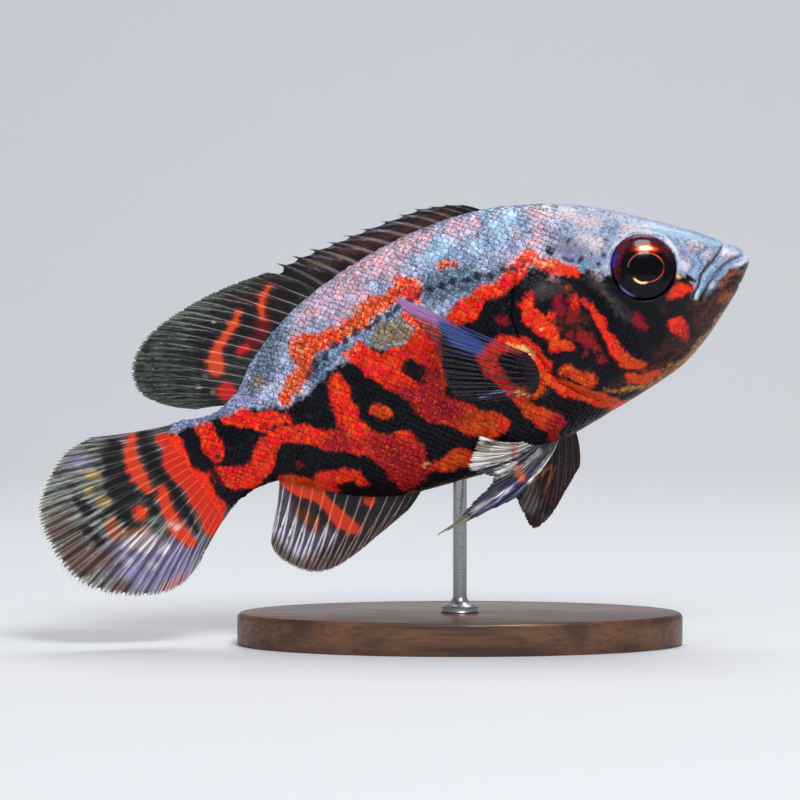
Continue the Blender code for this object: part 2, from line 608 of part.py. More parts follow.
def build_body():
    """Head, lip, jaw, gill covers, trunk and tail stalk, parted by thin cuts."""
    whole = body_solid("whole")
    for side in SIDES.values():
        cut_socket_and_nostril(whole, side)
    cuts = [
        slab("gill_cut", GILL_EDGE),
        slab("stalk_cut", STALK_CUT),
        slab("mouth_cut", MOUTH_LINE),
        slab("lip_cut", LIP_CREASE),
        slab("jaw_cut", JAW_REAR),
    ]
    markers = {"upper_lip": (6.5, 1.5), "lower_jaw": (9.0, -7.0), "tail_stalk": (114.0, 0.0),
               "torso": (76.0, 2.0), "head": (27.0, 3.0)}
    parts = split_by_cuts(whole, cuts, markers)
    covers = [part_gill_cover(parts["head"], side, word) for word, side in SIDES.items()]
    keep_largest(parts["head"])
    return [*parts.values(), *covers]


def build_eyes():
    return [turned(f"eye_{word}", EYE_PROFILE, *eye_seat(side), EYE_SIDES) for word, side in SIDES.items()]


def build_fins():
    """The unpaired fins in the middle plane, and the paired ones low on the flanks."""
    spines, soft = median_rays(DORSAL_SPINES, 0, -0.08), median_rays(DORSAL_SOFT, 0, -0.05)
    fins = [
        fin("dorsal_fin_spines", spines, 12, 5, SHEET, STRONG_RIDGE, notch=0.3, steps=4),
        fin("dorsal_fin_rays", soft, 17, 7, SHEET, RIDGE, notch=0.03, wave=0.8),
        fin("anal_fin", median_rays(ANAL_RAYS, 2, 0.06), 15, 6, SHEET, RIDGE, notch=0.04, wave=0.6),
        fin("caudal_fin", caudal_rays(), 17, 8, TAIL_SHEET, RIDGE, notch=0.025, wave=1.6),
    ]
    for word, side in SIDES.items():
        rays = paired_rays(PECTORAL_RAYS, side, 3.4, 0.22)
        fins.append(fin(f"pectoral_fin_{word}", rays, 12, 6, THICK_SHEET, RIDGE, notch=0.03))
    hanging, swept = paired_rays(PELVIC_LEFT, 1, 2.4, 0.3), paired_rays(PELVIC_RIGHT, -1, 1.6, 0.4)
    fins.append(fin("pelvic_fin_left", hanging, 8, 6, THICK_SHEET, STRONG_RIDGE, notch=0.06))
    fins.append(fin("pelvic_fin_right", swept, 12, 6, THICK_SHEET, STRONG_RIDGE, notch=0.06))
    return fins


def build_stand():
    """An oval plinth with its top edge eased, and a turned rod whose head is cut to the belly."""
    rings = [(0.0, 0.0), (0.0, BASE_HEIGHT - BASE_EDGE), (BASE_EDGE * 0.3, BASE_HEIGHT - BASE_EDGE * 0.3),
             (BASE_EDGE, BASE_HEIGHT)]
    sides = BASE_SIDES
    points, faces = [], []
    for inset, height in rings:
        half_length, half_width = BASE_LENGTH / 2 - inset, BASE_WIDTH / 2 - inset
        for k in range(sides):
            a = 2 * math.pi * k / sides
            points.append((half_length * math.cos(a), height, half_width * math.sin(a)))
    for i in range(len(rings) - 1):
        for k in range(sides):
            n = (k + 1) % sides
            faces.append((i * sides + k, i * sides + n, (i + 1) * sides + n, (i + 1) * sides + k))
    faces.append(tuple(range(sides))[::-1])
    faces.append(tuple(range((len(rings) - 1) * sides, len(rings) * sides)))
    base = mesh_object("stand_base", points, faces)
    foot = BASE_HEIGHT + GAP
    neck = foot + COLLAR_HEIGHT
    profile = [(0, foot), (COLLAR_R, foot), (COLLAR_R, foot + COLLAR_HEIGHT * 0.6), (ROD_NECK_R, neck),
               (ROD_R, neck + 0.8), (ROD_R, ROD_TOP), (0, ROD_TOP)]
    rod = turned("stand_rod", profile, np.zeros(3), (0.0, 1.0, 0.0), ROD_SIDES)
    belly = body_solid("belly", GAP, False)
    pose(belly)
    combine(rod, belly, "DIFFERENCE")
    keep_largest(rod)
    return base, rod


def main():
    for obj in list(bpy.data.objects):
        bpy.data.objects.remove(obj)
    skin_paint = material("oscar_skin", (0.13, 0.06, 0.05), 0.35)
    fin_paint = material("oscar_fin", (0.16, 0.09, 0.09), 0.4)
    eye_paint = material("oscar_eye", (0.05, 0.02, 0.02), 0.08)
    wood_paint = material("walnut", (0.12, 0.06, 0.03), 0.45)
    steel_paint = material("steel", (0.55, 0.55, 0.56), 0.3, 1.0)
    base, rod = build_stand()
    fish = [(build_body(), skin_paint), (build_eyes(), eye_paint), (build_fins(), fin_paint)]
    for pieces, paint in fish:
        for piece in pieces:
            pose(piece)
            finish_piece(piece, paint)
    finish_piece(base, wood_paint)
    finish_piece(rod, steel_paint)


main()
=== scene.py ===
"""The looks of a tiger oscar on its display stand: skin, scales, eyes, fins, plinth and post.

The fish is drawn level first, in millimetres: s runs back from the tip of the snout, w up and y to
the fish's left. placed() bends it a little sideways, pitches it nose up and brings it to metres.
"""
import math

import bpy
import numpy as np
from mathutils import Matrix, Vector


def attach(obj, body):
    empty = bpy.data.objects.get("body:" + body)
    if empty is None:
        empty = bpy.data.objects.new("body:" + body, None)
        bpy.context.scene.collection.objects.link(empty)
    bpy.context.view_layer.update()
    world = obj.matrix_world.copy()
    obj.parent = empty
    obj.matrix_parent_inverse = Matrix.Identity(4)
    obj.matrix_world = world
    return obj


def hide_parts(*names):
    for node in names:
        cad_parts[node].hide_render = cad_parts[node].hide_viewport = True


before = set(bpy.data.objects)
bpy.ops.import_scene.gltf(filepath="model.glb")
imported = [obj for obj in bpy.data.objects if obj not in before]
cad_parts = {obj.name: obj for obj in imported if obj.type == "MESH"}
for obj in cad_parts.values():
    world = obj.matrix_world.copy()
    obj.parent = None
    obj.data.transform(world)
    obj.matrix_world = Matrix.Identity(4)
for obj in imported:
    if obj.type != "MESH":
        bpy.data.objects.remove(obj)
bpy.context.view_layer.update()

# The skin. One unbroken hide over muscle and bone covers head, trunk and the root of the tail, slick
# on the snout and sunk by a scale's depth elsewhere. It is drawn over ribs, each one cut through the
# body, with a smooth curve between them. The last rib is the sheath over the roots of the tail fin.
MM = 0.001
PITCH = math.radians(20.0)
SNOUT_X, SNOUT_Z = 61.5, 83.0
TAIL_SWING, TAIL_SWING_FROM, TAIL_SWING_TO = 9.0, 60.0, 162.0
HEAD_SWING, HEAD_SWING_FROM = 1.6, 48.0
# A rib's columns are s and w at the back, s and w at the belly, half its width, how peaked it is at
# the back and at the belly, and how far its widest place is shifted.
RIBS = np.array([
    (0.0, 0.3, 0.0, 0.3, 0.0, 0.85, 0.85, 0.0),
    (0.5, 1.8, 0.5, -1.2, 2.3, 0.85, 0.85, 0.0),
    (1.7, 3.3, 1.7, -2.9, 3.7, 0.85, 0.85, 0.0),
    (4.0, 5.6, 4.0, -5.3, 5.0, 0.82, 0.85, 0.0),
    (8.0, 9.0, 8.0, -8.6, 6.5, 0.80, 0.85, 0.0),
    (14.0, 13.3, 14.0, -13.1, 8.1, 0.78, 0.90, -0.02),
    (21.0, 18.0, 21.0, -16.8, 9.4, 0.80, 0.95, -0.04),
    (30.0, 23.2, 30.0, -19.2, 10.5, 0.90, 0.95, -0.06),
    (40.0, 27.1, 40.0, -21.2, 11.1, 1.00, 0.92, -0.08),
    (52.0, 29.7, 52.0, -23.3, 11.3, 1.10, 0.90, -0.06),
    (64.0, 30.0, 64.0, -24.2, 11.0, 1.15, 0.95, -0.02),
    (76.0, 28.6, 76.0, -23.6, 10.0, 1.15, 1.00, 0.0),
    (88.0, 25.7, 88.0, -22.1, 8.5, 1.15, 1.10, 0.0),
    (98.0, 21.7, 98.0, -18.2, 6.8, 1.10, 1.10, 0.0),
    (106.5, 16.4, 105.5, -13.3, 5.0, 1.05, 1.05, 0.0),
    (112.5, 10.8, 110.5, -10.3, 3.8, 1.00, 1.00, 0.0),
    (118.5, 8.3, 115.5, -10.1, 2.8, 1.00, 1.00, 0.0),
    (125.0, 9.0, 119.8, -11.3, 1.7, 1.00, 1.00, 0.0),
    (130.5, 9.3, 124.6, -14.4, 0.55, 1.00, 1.00, 0.0),
])


def placed(level):
    """Level points (s, w, y) in millimetres as points of the finished model in metres."""
    s, w, y = np.moveaxis(np.asarray(level, float), -1, 0)
    back = np.clip((s - TAIL_SWING_FROM) / (TAIL_SWING_TO - TAIL_SWING_FROM), 0, None)
    fore = np.clip((HEAD_SWING_FROM - s) / HEAD_SWING_FROM, 0, None)
    drift = -TAIL_SWING * back**2 - HEAD_SWING * fore**2
    slope = (-2 * TAIL_SWING * back / (TAIL_SWING_TO - TAIL_SWING_FROM)
             + 2 * HEAD_SWING * fore / HEAD_SWING_FROM)
    stretch = np.sqrt(1 + slope**2)
    s, y = s - y * slope / stretch, drift + y / stretch
    x = SNOUT_X - s * math.cos(PITCH) - w * math.sin(PITCH)
    z = SNOUT_Z - s * math.sin(PITCH) + w * math.cos(PITCH)
    return np.stack([x, y, z], -1) * MM


def spline(rows, t, first=None):
    """Rows of numbers read at the places t by a Catmull-Rom curve. first is the row before the start."""
    rows = np.asarray(rows, float)
    before = 2 * rows[0] - rows[1] if first is None else np.asarray(first, float)
    padded = np.vstack([before, rows, 2 * rows[-1] - rows[-2]])
    t = np.clip(np.asarray(t, float), 0, len(rows) - 1)
    i = np.minimum(t.astype(int), len(rows) - 2)
    f = (t - i)[..., None]
    a, b, c, d = padded[i], padded[i + 1], padded[i + 2], padded[i + 3]
    return 0.5 * (2 * b + (c - a) * f + (2 * a - 5 * b + 4 * c - d) * f**2 + (3 * b - a - 3 * c + d) * f**3)


def ribs(t):
    """The rib row at the places t. Before the lips the rows mirror, so that the snout ends round."""
    mirrored = RIBS[1].copy()
    mirrored[[1, 3]] = 2 * RIBS[0][1] - mirrored[[1, 3]]
    mirrored[4] = -mirrored[4]
    return spline(RIBS, t, mirrored)


def bare_skin(t, angle):
    """Points of the body without relief. The angle runs from the back over the left side."""
    row = ribs(t)
    height = np.cos(angle) + row[..., 7] * np.sin(angle) ** 2
    share = (1 + height) / 2
    peak = row[..., 6] + (row[..., 5] - row[..., 6]) * (1 + np.cos(angle)) / 2
    s = row[..., 2] + (row[..., 0] - row[..., 2]) * share
    w = row[..., 3] + (row[..., 1] - row[..., 3]) * share
    y = row[..., 4] * np.abs(np.sin(angle)) ** peak * np.sign(np.sin(angle))
    return np.stack([s, w, y], -1)


def unit(vectors):
    return vectors / np.maximum(np.linalg.norm(vectors, axis=-1, keepdims=True), 1e-12)


def skin_normal(t, angle):
    small = 1e-3
    along = bare_skin(t + small, angle) - bare_skin(t - small, angle)
    around = bare_skin(t, angle + small) - bare_skin(t, angle - small)
    out = unit(np.cross(along, around))
    row = ribs(t)
    level = np.zeros_like(row[..., 0])
    centre = np.stack([(row[..., 0] + row[..., 2]) / 2, (row[..., 1] + row[..., 3]) / 2, level], -1)
    inward = np.sum(out * (bare_skin(t, angle) - centre), -1, keepdims=True) < 0
    return np.where(inward, -out, out)


RIB_PLACES = np.linspace(0, len(RIBS) - 1, 1200)
RIB_TABLE = ribs(RIB_PLACES)
BACK, BELLY = 0, 2


def place_at(s):
    """The place along the ribs of the one that meets the back at s."""
    return np.interp(s, RIB_TABLE[:, 0], RIB_PLACES)


def edge_w(s, edge):
    """The height of one edge, BACK or BELLY, in the middle plane at s."""
    return np.interp(s, RIB_TABLE[:, edge], RIB_TABLE[:, edge + 1])


# The forms of the head, as lines (s, w) on its side: the mouth and lips, the folds of the cheek and
# gill cover, and the folds of thin skin under the throat. They stand out from the body by fractions
# of a millimetre to a millimetre.
MOUTH_LINE = [(-2.0, 1.3), (0.9, 1.25), (3.0, 1.2), (4.8, 0.8), (7.4, -0.3), (9.4, -1.9),
              (11.3, -3.5), (12.8, -4.6)]
LIP_CREASE = [(2.2, 7.5), (3.9, 4.5), (5.5, 3.6), (7.9, 2.2), (10.4, 0.3), (12.5, -1.7),
              (14.0, -3.5), (15.0, -5.8)]
UPPER_LIP = [(-1.0, 2.6), (2.6, 3.0), (5.2, 2.3), (7.7, 1.0), (9.9, -0.8), (11.9, -2.6), (13.4, -4.0)]
LOWER_LIP = [(-1.0, -0.5), (2.6, -0.6), (5.0, -1.1), (7.4, -2.1), (9.6, -3.8), (11.6, -5.4), (13.2, -6.5)]
CHIN_FOLD = [(2.6, -5.5), (4.6, -3.4), (7.0, -3.9), (9.4, -5.6), (11.6, -7.4)]
CHEEK_EDGE = [(37.4, 10.5), (36.4, 7.2), (35.5, 2.8), (34.9, -1.3), (34.4, -5.6), (34.0, -9.2),
              (32.6, -12.2), (30.0, -13.9), (27.0, -13.9), (23.6, -13.2), (19.6, -12.2)]
GILL_EDGE = [(43.0, 34.0), (43.6, 24.0), (44.0, 18.5), (46.1, 14.6), (49.2, 11.2), (51.3, 7.5),
             (51.8, 3.7), (51.0, -0.4), (49.2, -4.0), (47.9, -7.4), (46.7, -10.2), (44.6, -12.8),
             (41.6, -15.4), (39.0, -18.5), (37.6, -24.5)]
THROAT_FOLDS = [[(40.5, -16.4), (36.0, -16.9), (30.0, -16.3), (24.0, -15.2), (18.0, -12.9)],
                [(38.5, -18.6), (33.0, -18.1), (27.0, -17.6), (21.0, -16.2)]]
EYE_S, EYE_W, EYE_R = 21.6, 6.2, 7.05
EYE_TOE, EYE_LIFT = math.radians(8.0), math.radians(5.0)
SOCKET_R, SOCKET_DEPTH = EYE_R + 0.12, 2.4
NOSTRIL_S, NOSTRIL_W, NOSTRIL_R, NOSTRIL_DEPTH = 9.8, 6.4, 0.42, 0.9
SCALE_DEPTH = 0.25


def line_through(points, per_span=6):
    """A given line rounded into a curve with more points."""
    return spline(points, np.linspace(0, len(points) - 1, (len(points) - 1) * per_span + 1))


def distance(line, s, w):
    """How far the points (s, w) lie from a line of points, and on which side: above or ahead is positive."""
    best = np.full(np.shape(s), 1e9)
    side = np.zeros(np.shape(s))
    for (s0, w0), (s1, w1) in zip(line[:-1], line[1:]):
        ds, dw = s1 - s0, w1 - w0
        f = np.clip(((s - s0) * ds + (w - w0) * dw) / (ds * ds + dw * dw), 0, 1)
        gone = np.hypot(s - s0 - f * ds, w - w0 - f * dw)
        turn = np.sign(ds * (w - w0) - dw * (s - s0))
        side = np.where(gone < best - 1e-9, turn, side)
        best = np.minimum(best, gone)
    return best, side


def bump(x, width):
    return np.exp(-(x / width) ** 2)


def ramp(x, low, high):
    f = np.clip((x - low) / (high - low), 0, 1)
    return f * f * (3 - 2 * f)


def away(points, s, w):
    return distance(line_through(points), s, w)[0]


def relief(s, w):
    """How far the skin stands out from the bare body, by its place on the side of the fish."""
    to_gill, gill_side = distance(line_through(GILL_EDGE), s, w)
    ahead = to_gill * -gill_side
    low_on_head = ramp(w, -21.0, -15.0) * (1 - ramp(w, 11.0, 16.0))
    cover = ramp(ahead, -0.15, 0.25) * (1 - ramp(ahead, 2.0, 14.0)) * low_on_head
    out = 0.9 * cover - 0.5 * bump(ahead + 0.5, 0.5) * low_on_head
    out += -0.45 * bump(away(CHEEK_EDGE, s, w), 0.7) - 0.5 * bump(away(LIP_CREASE, s, w), 0.42)
    upper, lower = away(UPPER_LIP, s, w), away(LOWER_LIP, s, w)
    out += 0.5 * bump(upper, 1.25) + 0.45 * bump(lower, 1.2)
    out += 0.06 * np.cos(upper * 5.5) * bump(upper, 1.5) + 0.05 * np.cos(lower * 5.5) * bump(lower, 1.5)
    out -= 0.3 * bump(away(CHIN_FOLD, s, w), 0.4)
    for fold in THROAT_FOLDS:
        out -= 0.28 * bump(away(fold, s, w), 0.35)
    out -= 0.95 * bump(away(MOUTH_LINE, s, w), 0.3) * (1 - ramp(s, 13.0, 14.5))
    out += 0.35 * bump(np.hypot(s - EYE_S, w - EYE_W) - (EYE_R + 0.9), 0.8)
    return out + 0.3 * bump(np.hypot(s - NOSTRIL_S, w - NOSTRIL_W) - 0.95, 0.35)


def scaled_share(s, w):
    """1 where the skin carries full scales, 0 on the bare snout, lips and brow."""
    to_gill, gill_side = distance(line_through(GILL_EDGE), s, w)
    behind = ramp(to_gill * gill_side, -0.5, 1.0)
    nape = ramp(s + (w - 20.0) * 0.3, 31.0, 38.0) * ramp(w, 9.5, 12.0)
    cheek = ramp(s, 27.0, 31.0) * ramp(w, -14.5, -12.0) * (1 - ramp(w, 8.0, 11.0))
    return np.maximum(behind, np.maximum(0.6 * nape, 0.6 * cheek))


def skin(t, angle, grow=0.0):
    """Points of the body with its relief, grown outwards along its normals."""
    bare = bare_skin(t, angle)
    sideways = np.abs(np.sin(angle))
    lips = 1 - ramp(bare[..., 0], 4.0, 9.0)
    out = grow + relief(bare[..., 0], bare[..., 1]) * np.maximum(sideways, 0.75 * lips)
    return bare + skin_normal(t, angle) * out[..., None]


def angle_at(s, w, side):
    """The angle of the skin point at (s, w), on the side +1 for left and -1 for right."""
    angles = np.linspace(0, math.pi, 600)
    heights = bare_skin(np.full(len(angles), place_at(s)), angles)[:, 1]
    return side * np.interp(-w, -heights, angles)


def on_skin(s, w, side, lift=0.0):
    """The skin point at (s, w) with its outward normal."""
    t, angle = np.array(place_at(s)), np.array(angle_at(s, w, side))
    normal = skin_normal(t, angle)
    return bare_skin(t, angle) + normal * (lift + relief(s, w) * abs(math.sin(angle))), normal


def eye_frame(side):
    """The middle of the eye on the skin, the way it looks, and its backward and upward directions."""
    seat, _ = on_skin(EYE_S, EYE_W, side)
    look = unit(np.array([-math.sin(EYE_TOE), math.sin(EYE_LIFT), side * math.cos(EYE_TOE)]))
    rear = unit(np.cross(look, np.array([0.0, 1.0, 0.0])) * -side)
    return seat, look, rear, np.cross(look, rear) * side


def drawn_to_rim(points, seat, look, radius, reach):
    """Crowds points about a circle round look, for a crisp edge, and gives each one's depth in it."""
    gone = points - seat
    height = gone @ look
    flat = gone - height[..., None] * look
    r = np.linalg.norm(flat, axis=-1)
    near = (np.abs(height) < 5.0) & (np.abs(r - radius) < reach)
    x = np.clip((r - radius) / reach, -1, 1)
    crowded = radius + reach * np.sign(x) * np.abs(x) ** 2.2
    moved = points + flat * (np.where(near, crowded / np.maximum(r, 1e-6), 1) - 1)[..., None]
    r = np.where(near, crowded, r)
    return moved, np.where(np.abs(height) < 5.0, radius - r, -9.0)


def sunk_round_eyes(points):
    """Opens the sockets and nostrils in a field of skin points."""
    for side in (1, -1):
        seat, look, _, _ = eye_frame(side)
        points, inside = drawn_to_rim(points, seat, look, SOCKET_R, 1.6)
        points = points - look * (SOCKET_DEPTH * ramp(inside, 0.0, 0.15))[..., None]
        pit, normal = on_skin(NOSTRIL_S, NOSTRIL_W, side)
        points, inside = drawn_to_rim(points, pit, normal, NOSTRIL_R, 0.4)
        points = points - normal * (NOSTRIL_DEPTH * ramp(inside, 0.0, 0.2))[..., None]
    return points


# The markings. A live tiger oscar carries a net of red-orange bands over blue-black flanks, a
# blue-grey back hazed with pink, and small dark pores. Each mark is a stroke, a run of dots
# (s, w, radius) joined by tapering lines, and skin and scales read the same strokes. A few strokes
# are painted light instead: glints, highlights and sheen, and shade in the creases.
TAIL_ROOT = [(131.0, 6.6, 1.6), (129.4, 4.5, 2.2), (130.2, 1.0, 2.6), (129.4, -2.0, 2.4), (127.6, -5.0, 2.6),
             (127.4, -8.0, 2.8), (126.4, -11.5, 2.8), (127.0, -14.5, 2.4)]
RED = [
    [(63.5, 9.8, 1.6), (60.5, 10.3, 2.2), (57.0, 12.2, 1.4), (52.0, 12.6, 1.2), (49.0, 13.8, 1.4),
     (46.0, 15.7, 1.7), (43.5, 16.3, 1.6), (41.0, 14.0, 1.3), (38.5, 11.8, 1.5), (36.0, 10.4, 1.1)],
    [(71.5, 20.3, 1.7), (70.3, 18.8, 2.3), (69.6, 17.0, 1.2)],
    [(62.5, 21.0, 0.5), (59.5, 20.8, 0.5)],
    [(87.0, 9.8, 1.2), (85.3, 9.8, 1.8), (83.5, 6.5, 2.4), (81.2, 3.6, 2.2), (78.6, 0.2, 1.9),
     (76.5, -3.0, 2.3), (74.5, -6.0, 2.8), (71.0, -9.0, 2.7), (68.0, -11.5, 2.6), (65.0, -14.0, 2.9),
     (62.2, -14.8, 2.0)],
    [(83.5, 6.0, 1.6), (79.0, 6.4, 1.3), (75.5, 6.9, 1.4), (72.0, 7.6, 1.9)],
    [(72.5, 13.8, 1.1), (70.5, 11.3, 1.8), (69.8, 8.5, 2.2), (70.6, 5.0, 1.9), (71.3, 2.0, 1.8),
     (71.9, -1.5, 1.8), (73.5, -4.5, 2.0)],
    [(116.5, 5.9, 0.7), (113.5, 5.0, 1.4), (110.0, 3.2, 1.6), (107.0, 2.4, 1.5), (105.0, 1.6, 1.1)],
    [(103.5, 5.9, 1.1), (102.0, 7.4, 1.6), (99.8, 9.0, 1.4), (97.4, 10.6, 1.6), (96.4, 12.8, 2.0),
     (97.0, 15.2, 2.1), (94.0, 15.2, 1.8), (91.0, 14.6, 1.6), (88.0, 14.8, 1.6), (85.5, 15.8, 1.4)],
    [(86.5, 15.4, 1.3), (83.2, 15.6, 1.5), (80.4, 17.8, 1.8), (77.4, 18.0, 1.5), (74.4, 18.6, 1.3),
     (71.0, 19.6, 1.6)],
    [(122.5, -3.9, 1.2), (121.0, -5.6, 1.9), (118.8, -7.0, 2.0), (116.0, -7.2, 2.3), (113.2, -5.8, 2.2),
     (111.0, -3.0, 1.7), (108.2, -0.8, 1.8), (104.0, -1.6, 1.5), (101.0, -3.4, 1.6), (97.0, -6.0, 1.8),
     (93.0, -7.4, 2.3), (89.6, -9.0, 2.3), (86.8, -12.0, 3.0), (84.6, -15.5, 3.8), (84.6, -19.3, 2.2)],
    [(92.0, 5.6, 1.4), (92.3, 3.0, 1.9), (92.4, 0.0, 2.0), (92.2, -3.0, 2.1), (91.8, -6.5, 2.4)],
    [(78.8, 4.6, 1.4), (78.0, 1.0, 1.2)], [(73.0, 4.6, 1.3), (73.2, 0.4, 1.0)],
    TAIL_ROOT,
    [(121.6, 5.6, 1.4), (121.5, 2.4, 1.8), (121.2, -0.3, 1.5)],
    [(82.4, -11.0, 1.9), (81.6, -15.5, 2.2), (82.6, -18.5, 2.0)],
    [(86.2, -2.6, 0.8), (84.3, -4.5, 1.0)],
    [(80.5, -18.6, 0.6), (77.0, -19.0, 0.9), (74.5, -18.9, 1.6), (71.8, -19.0, 1.7), (69.5, -19.8, 1.1)],
    [(109.6, -10.3, 0.9), (107.2, -12.4, 1.4), (104.2, -14.0, 1.7), (101.2, -15.6, 1.9)],
    [(102.5, -12.6, 0.8), (98.3, -13.4, 1.0), (95.0, -14.9, 1.0), (94.0, -16.3, 0.8)],
    [(56.3, -11.2, 0.8), (55.0, -14.0, 1.3), (52.6, -17.0, 1.8), (50.8, -18.8, 2.0), (52.0, -21.0, 1.0)],
    [(49.0, -8.8, 0.9), (47.4, -11.0, 1.0), (44.8, -13.6, 1.2), (42.0, -15.6, 1.3), (39.8, -17.6, 1.4),
     (37.5, -19.4, 1.4), (35.0, -20.6, 0.9)],
    [(56.0, -10.0, 0.9), (52.4, -10.4, 1.2), (49.8, -9.0, 1.4), (49.2, -6.0, 1.4), (50.2, -3.0, 1.5),
     (52.0, -0.6, 1.5), (53.8, 0.8, 1.3), (57.0, 1.0, 1.5), (60.0, -0.4, 1.8), (59.8, -3.2, 1.3),
     (58.4, -6.0, 1.0), (57.4, -8.6, 0.8)],
    [(46.8, 9.0, 0.7), (48.0, 7.0, 1.2), (47.7, 4.4, 1.8), (46.4, 1.6, 1.5), (44.8, -0.8, 1.2),
     (45.0, -3.0, 1.2), (42.4, -4.0, 0.9)],
    [(43.6, 3.0, 0.9)],
    [(38.3, 3.4, 0.7), (37.6, 5.0, 0.6)],
    [(36.2, 4.4, 0.4), (35.3, 2.4, 0.65), (34.5, -1.0, 0.8), (33.8, -5.4, 0.95), (33.3, -8.6, 1.3),
     (32.2, -11.2, 1.7), (30.2, -12.8, 1.3), (28.6, -13.7, 0.7)],
    [(45.0, -8.6, 0.8), (43.0, -10.5, 1.2), (41.2, -12.0, 1.3), (40.0, -13.0, 0.9)],
    [(32.3, -15.4, 1.2), (29.4, -16.2, 1.1), (26.5, -16.5, 0.6)],
    [(18.5, -1.2, 0.6), (16.2, -1.1, 1.5), (14.2, -1.3, 0.9)],
    [(19.0, -8.0, 1.9), (18.2, -10.2, 1.3)],
]
DIM_RED = [
    [(26.4, -3.9, 1.2), (26.5, -5.4, 1.1)], [(39.4, -2.6, 1.1), (38.2, -4.6, 1.4), (37.0, -6.2, 0.9)],
    [(42.2, -3.4, 1.0)], [(41.6, -1.6, 0.7)], [(37.0, -9.0, 0.9)], [(39.6, -7.0, 0.6)], [(53.8, 6.0, 1.2)],
    [(105.4, -8.5, 0.7)], [(43.4, -0.4, 0.8)], [(39.4, 1.6, 1.3), (38.6, 4.4, 1.2)], [(18.9, -1.2, 0.7)],
    [(41.2, 6.2, 1.2), (42.0, 3.4, 1.0)],
]
CRIMSON = [[(80.0, -2.0, 2.0), (75.0, -5.5, 4.5), (70.0, -9.5, 2.0)],
           [(88.0, -10.0, 2.5), (84.0, -17.0, 5.5)], [(51.0, -20.0, 3.0)], [(96.0, -7.0, 2.5)],
           [(18.0, -10.8, 1.8)], [(72.0, 0.0, 2.0)]]
ORANGE = [[(74.0, -19.0, 4.0)], [(54.0, -14.5, 3.0)], [(107.0, -13.0, 4.0)], [(43.0, -10.5, 3.5)],
          [(31.0, -16.0, 4.0)], [(86.0, 15.5, 2.5), (78.0, 18.2, 3.0)], [(52.0, -9.0, 3.0)],
          [(85.0, -3.6, 2.5)], [(96.0, 13.0, 3.5), (101.0, 8.5, 2.0)], [(40.0, -17.0, 4.5)],
          [(61.0, 20.9, 3.0)], [(31.0, -12.0, 2.0)], [(66.0, -13.5, 3.5)],
          [(44.6, -2.6, 2.0)], [(15.4, 0.6, 0.8)], [(40.0, 13.0, 1.2)]]
HAZE = [[(62.0, 28.6, 1.2), (68.0, 27.8, 2.4), (75.0, 26.4, 2.8), (84.0, 24.2, 2.8), (92.0, 21.4, 2.0),
         (96.5, 19.0, 1.0)], [(80.0, 21.4, 1.8), (88.0, 18.6, 1.6)],
        [(40.0, 25.5, 1.3), (38.6, 22.8, 1.8), (41.5, 19.6, 1.5), (43.0, 17.4, 1.6)],
        [(57.0, 27.5, 2.2), (52.0, 27.5, 1.2)], [(72.6, 23.0, 2.2)], [(79.0, 15.0, 1.0)],
        [(39.4, 11.8, 1.3), (37.4, 11.4, 0.7)], [(103.0, 6.6, 1.0)],
        [(51.0, 15.4, 0.6), (47.0, 17.6, 0.8)]]
BLUSH = [[(34.0, 22.5, 1.6), (28.0, 18.5, 1.4)], [(31.4, 8.2, 0.9)], [(13.2, 4.0, 1.0)], [(7.5, 4.4, 1.0)],
         [(4.0, 2.6, 1.0)], [(29.4, 14.2, 1.5), (32.0, 17.0, 1.0)], [(23.0, 15.0, 1.2), (18.0, 13.4, 1.0)],
         [(9.7, 6.5, 1.2)], [(45.0, 22.0, 1.2)], [(37.0, 24.6, 1.4)]]
# Pale blue strokes: partly the skin's own pale blue on the lips, partly painted sheen along the top of the
# snout, on the wet lips and on the back.
PALE_BLUE_AND_PAINTED_SHEEN = [[(20.0, 15.6, 0.6), (16.0, 12.9, 0.8), (12.0, 10.2, 0.8), (8.0, 7.6, 0.6), (4.0, 4.6, 0.5)],
         [(11.6, 1.6, 0.8), (10.6, 2.4, 0.5)],
         [(8.0, 1.4, 0.5), (10.4, 0.0, 0.7), (12.4, -2.2, 0.7), (13.4, -3.4, 0.5)],
         [(1.6, -0.1, 0.4), (4.4, -0.3, 0.45), (7.2, -1.2, 0.5), (9.6, -2.9, 0.45), (11.6, -4.6, 0.3)],
         [(60.0, 25.0, 2.5), (64.0, 24.5, 1.8)], [(48.0, 24.0, 2.4), (45.0, 26.0, 1.4)],
         [(0.4, 0.9, 0.8), (2.0, 2.8, 0.8)], [(54.0, 22.5, 1.6)], [(82.0, 22.6, 1.0)], [(8.6, -2.4, 0.4)]]
VIOLET = [[(11.2, 5.4, 0.9), (12.4, 7.0, 0.7)], [(28.6, 10.6, 0.8), (29.6, 11.8, 0.8)], [(12.6, 2.4, 0.8)],
          [(6.6, -0.4, 0.6), (3.4, 0.6, 0.5)], [(37.6, 15.6, 1.4), (35.4, 13.8, 1.2)], [(27.4, 13.6, 0.8)],
          [(110.0, 8.6, 0.9), (118.0, 8.0, 0.9), (126.0, 8.6, 0.9)], [(37.0, 19.0, 1.6)], [(46.0, 20.4, 1.6)],
          [(88.0, 23.4, 1.2)]]
OLIVE = [[(79.8, 11.3, 2.4), (75.5, 11.6, 2.9), (72.8, 10.3, 1.4)],
         [(107.6, 11.2, 1.2)], [(66.5, -17.4, 0.9)]]
GREY = [[(44.2, 8.8, 1.7), (41.2, 8.6, 1.3)], [(33.2, 8.6, 1.0), (31.4, 4.6, 0.7), (30.0, 0.6, 0.7),
        (28.4, -3.0, 0.5)], [(38.0, 17.6, 1.8), (34.6, 15.6, 1.8), (31.6, 12.6, 1.0)]]
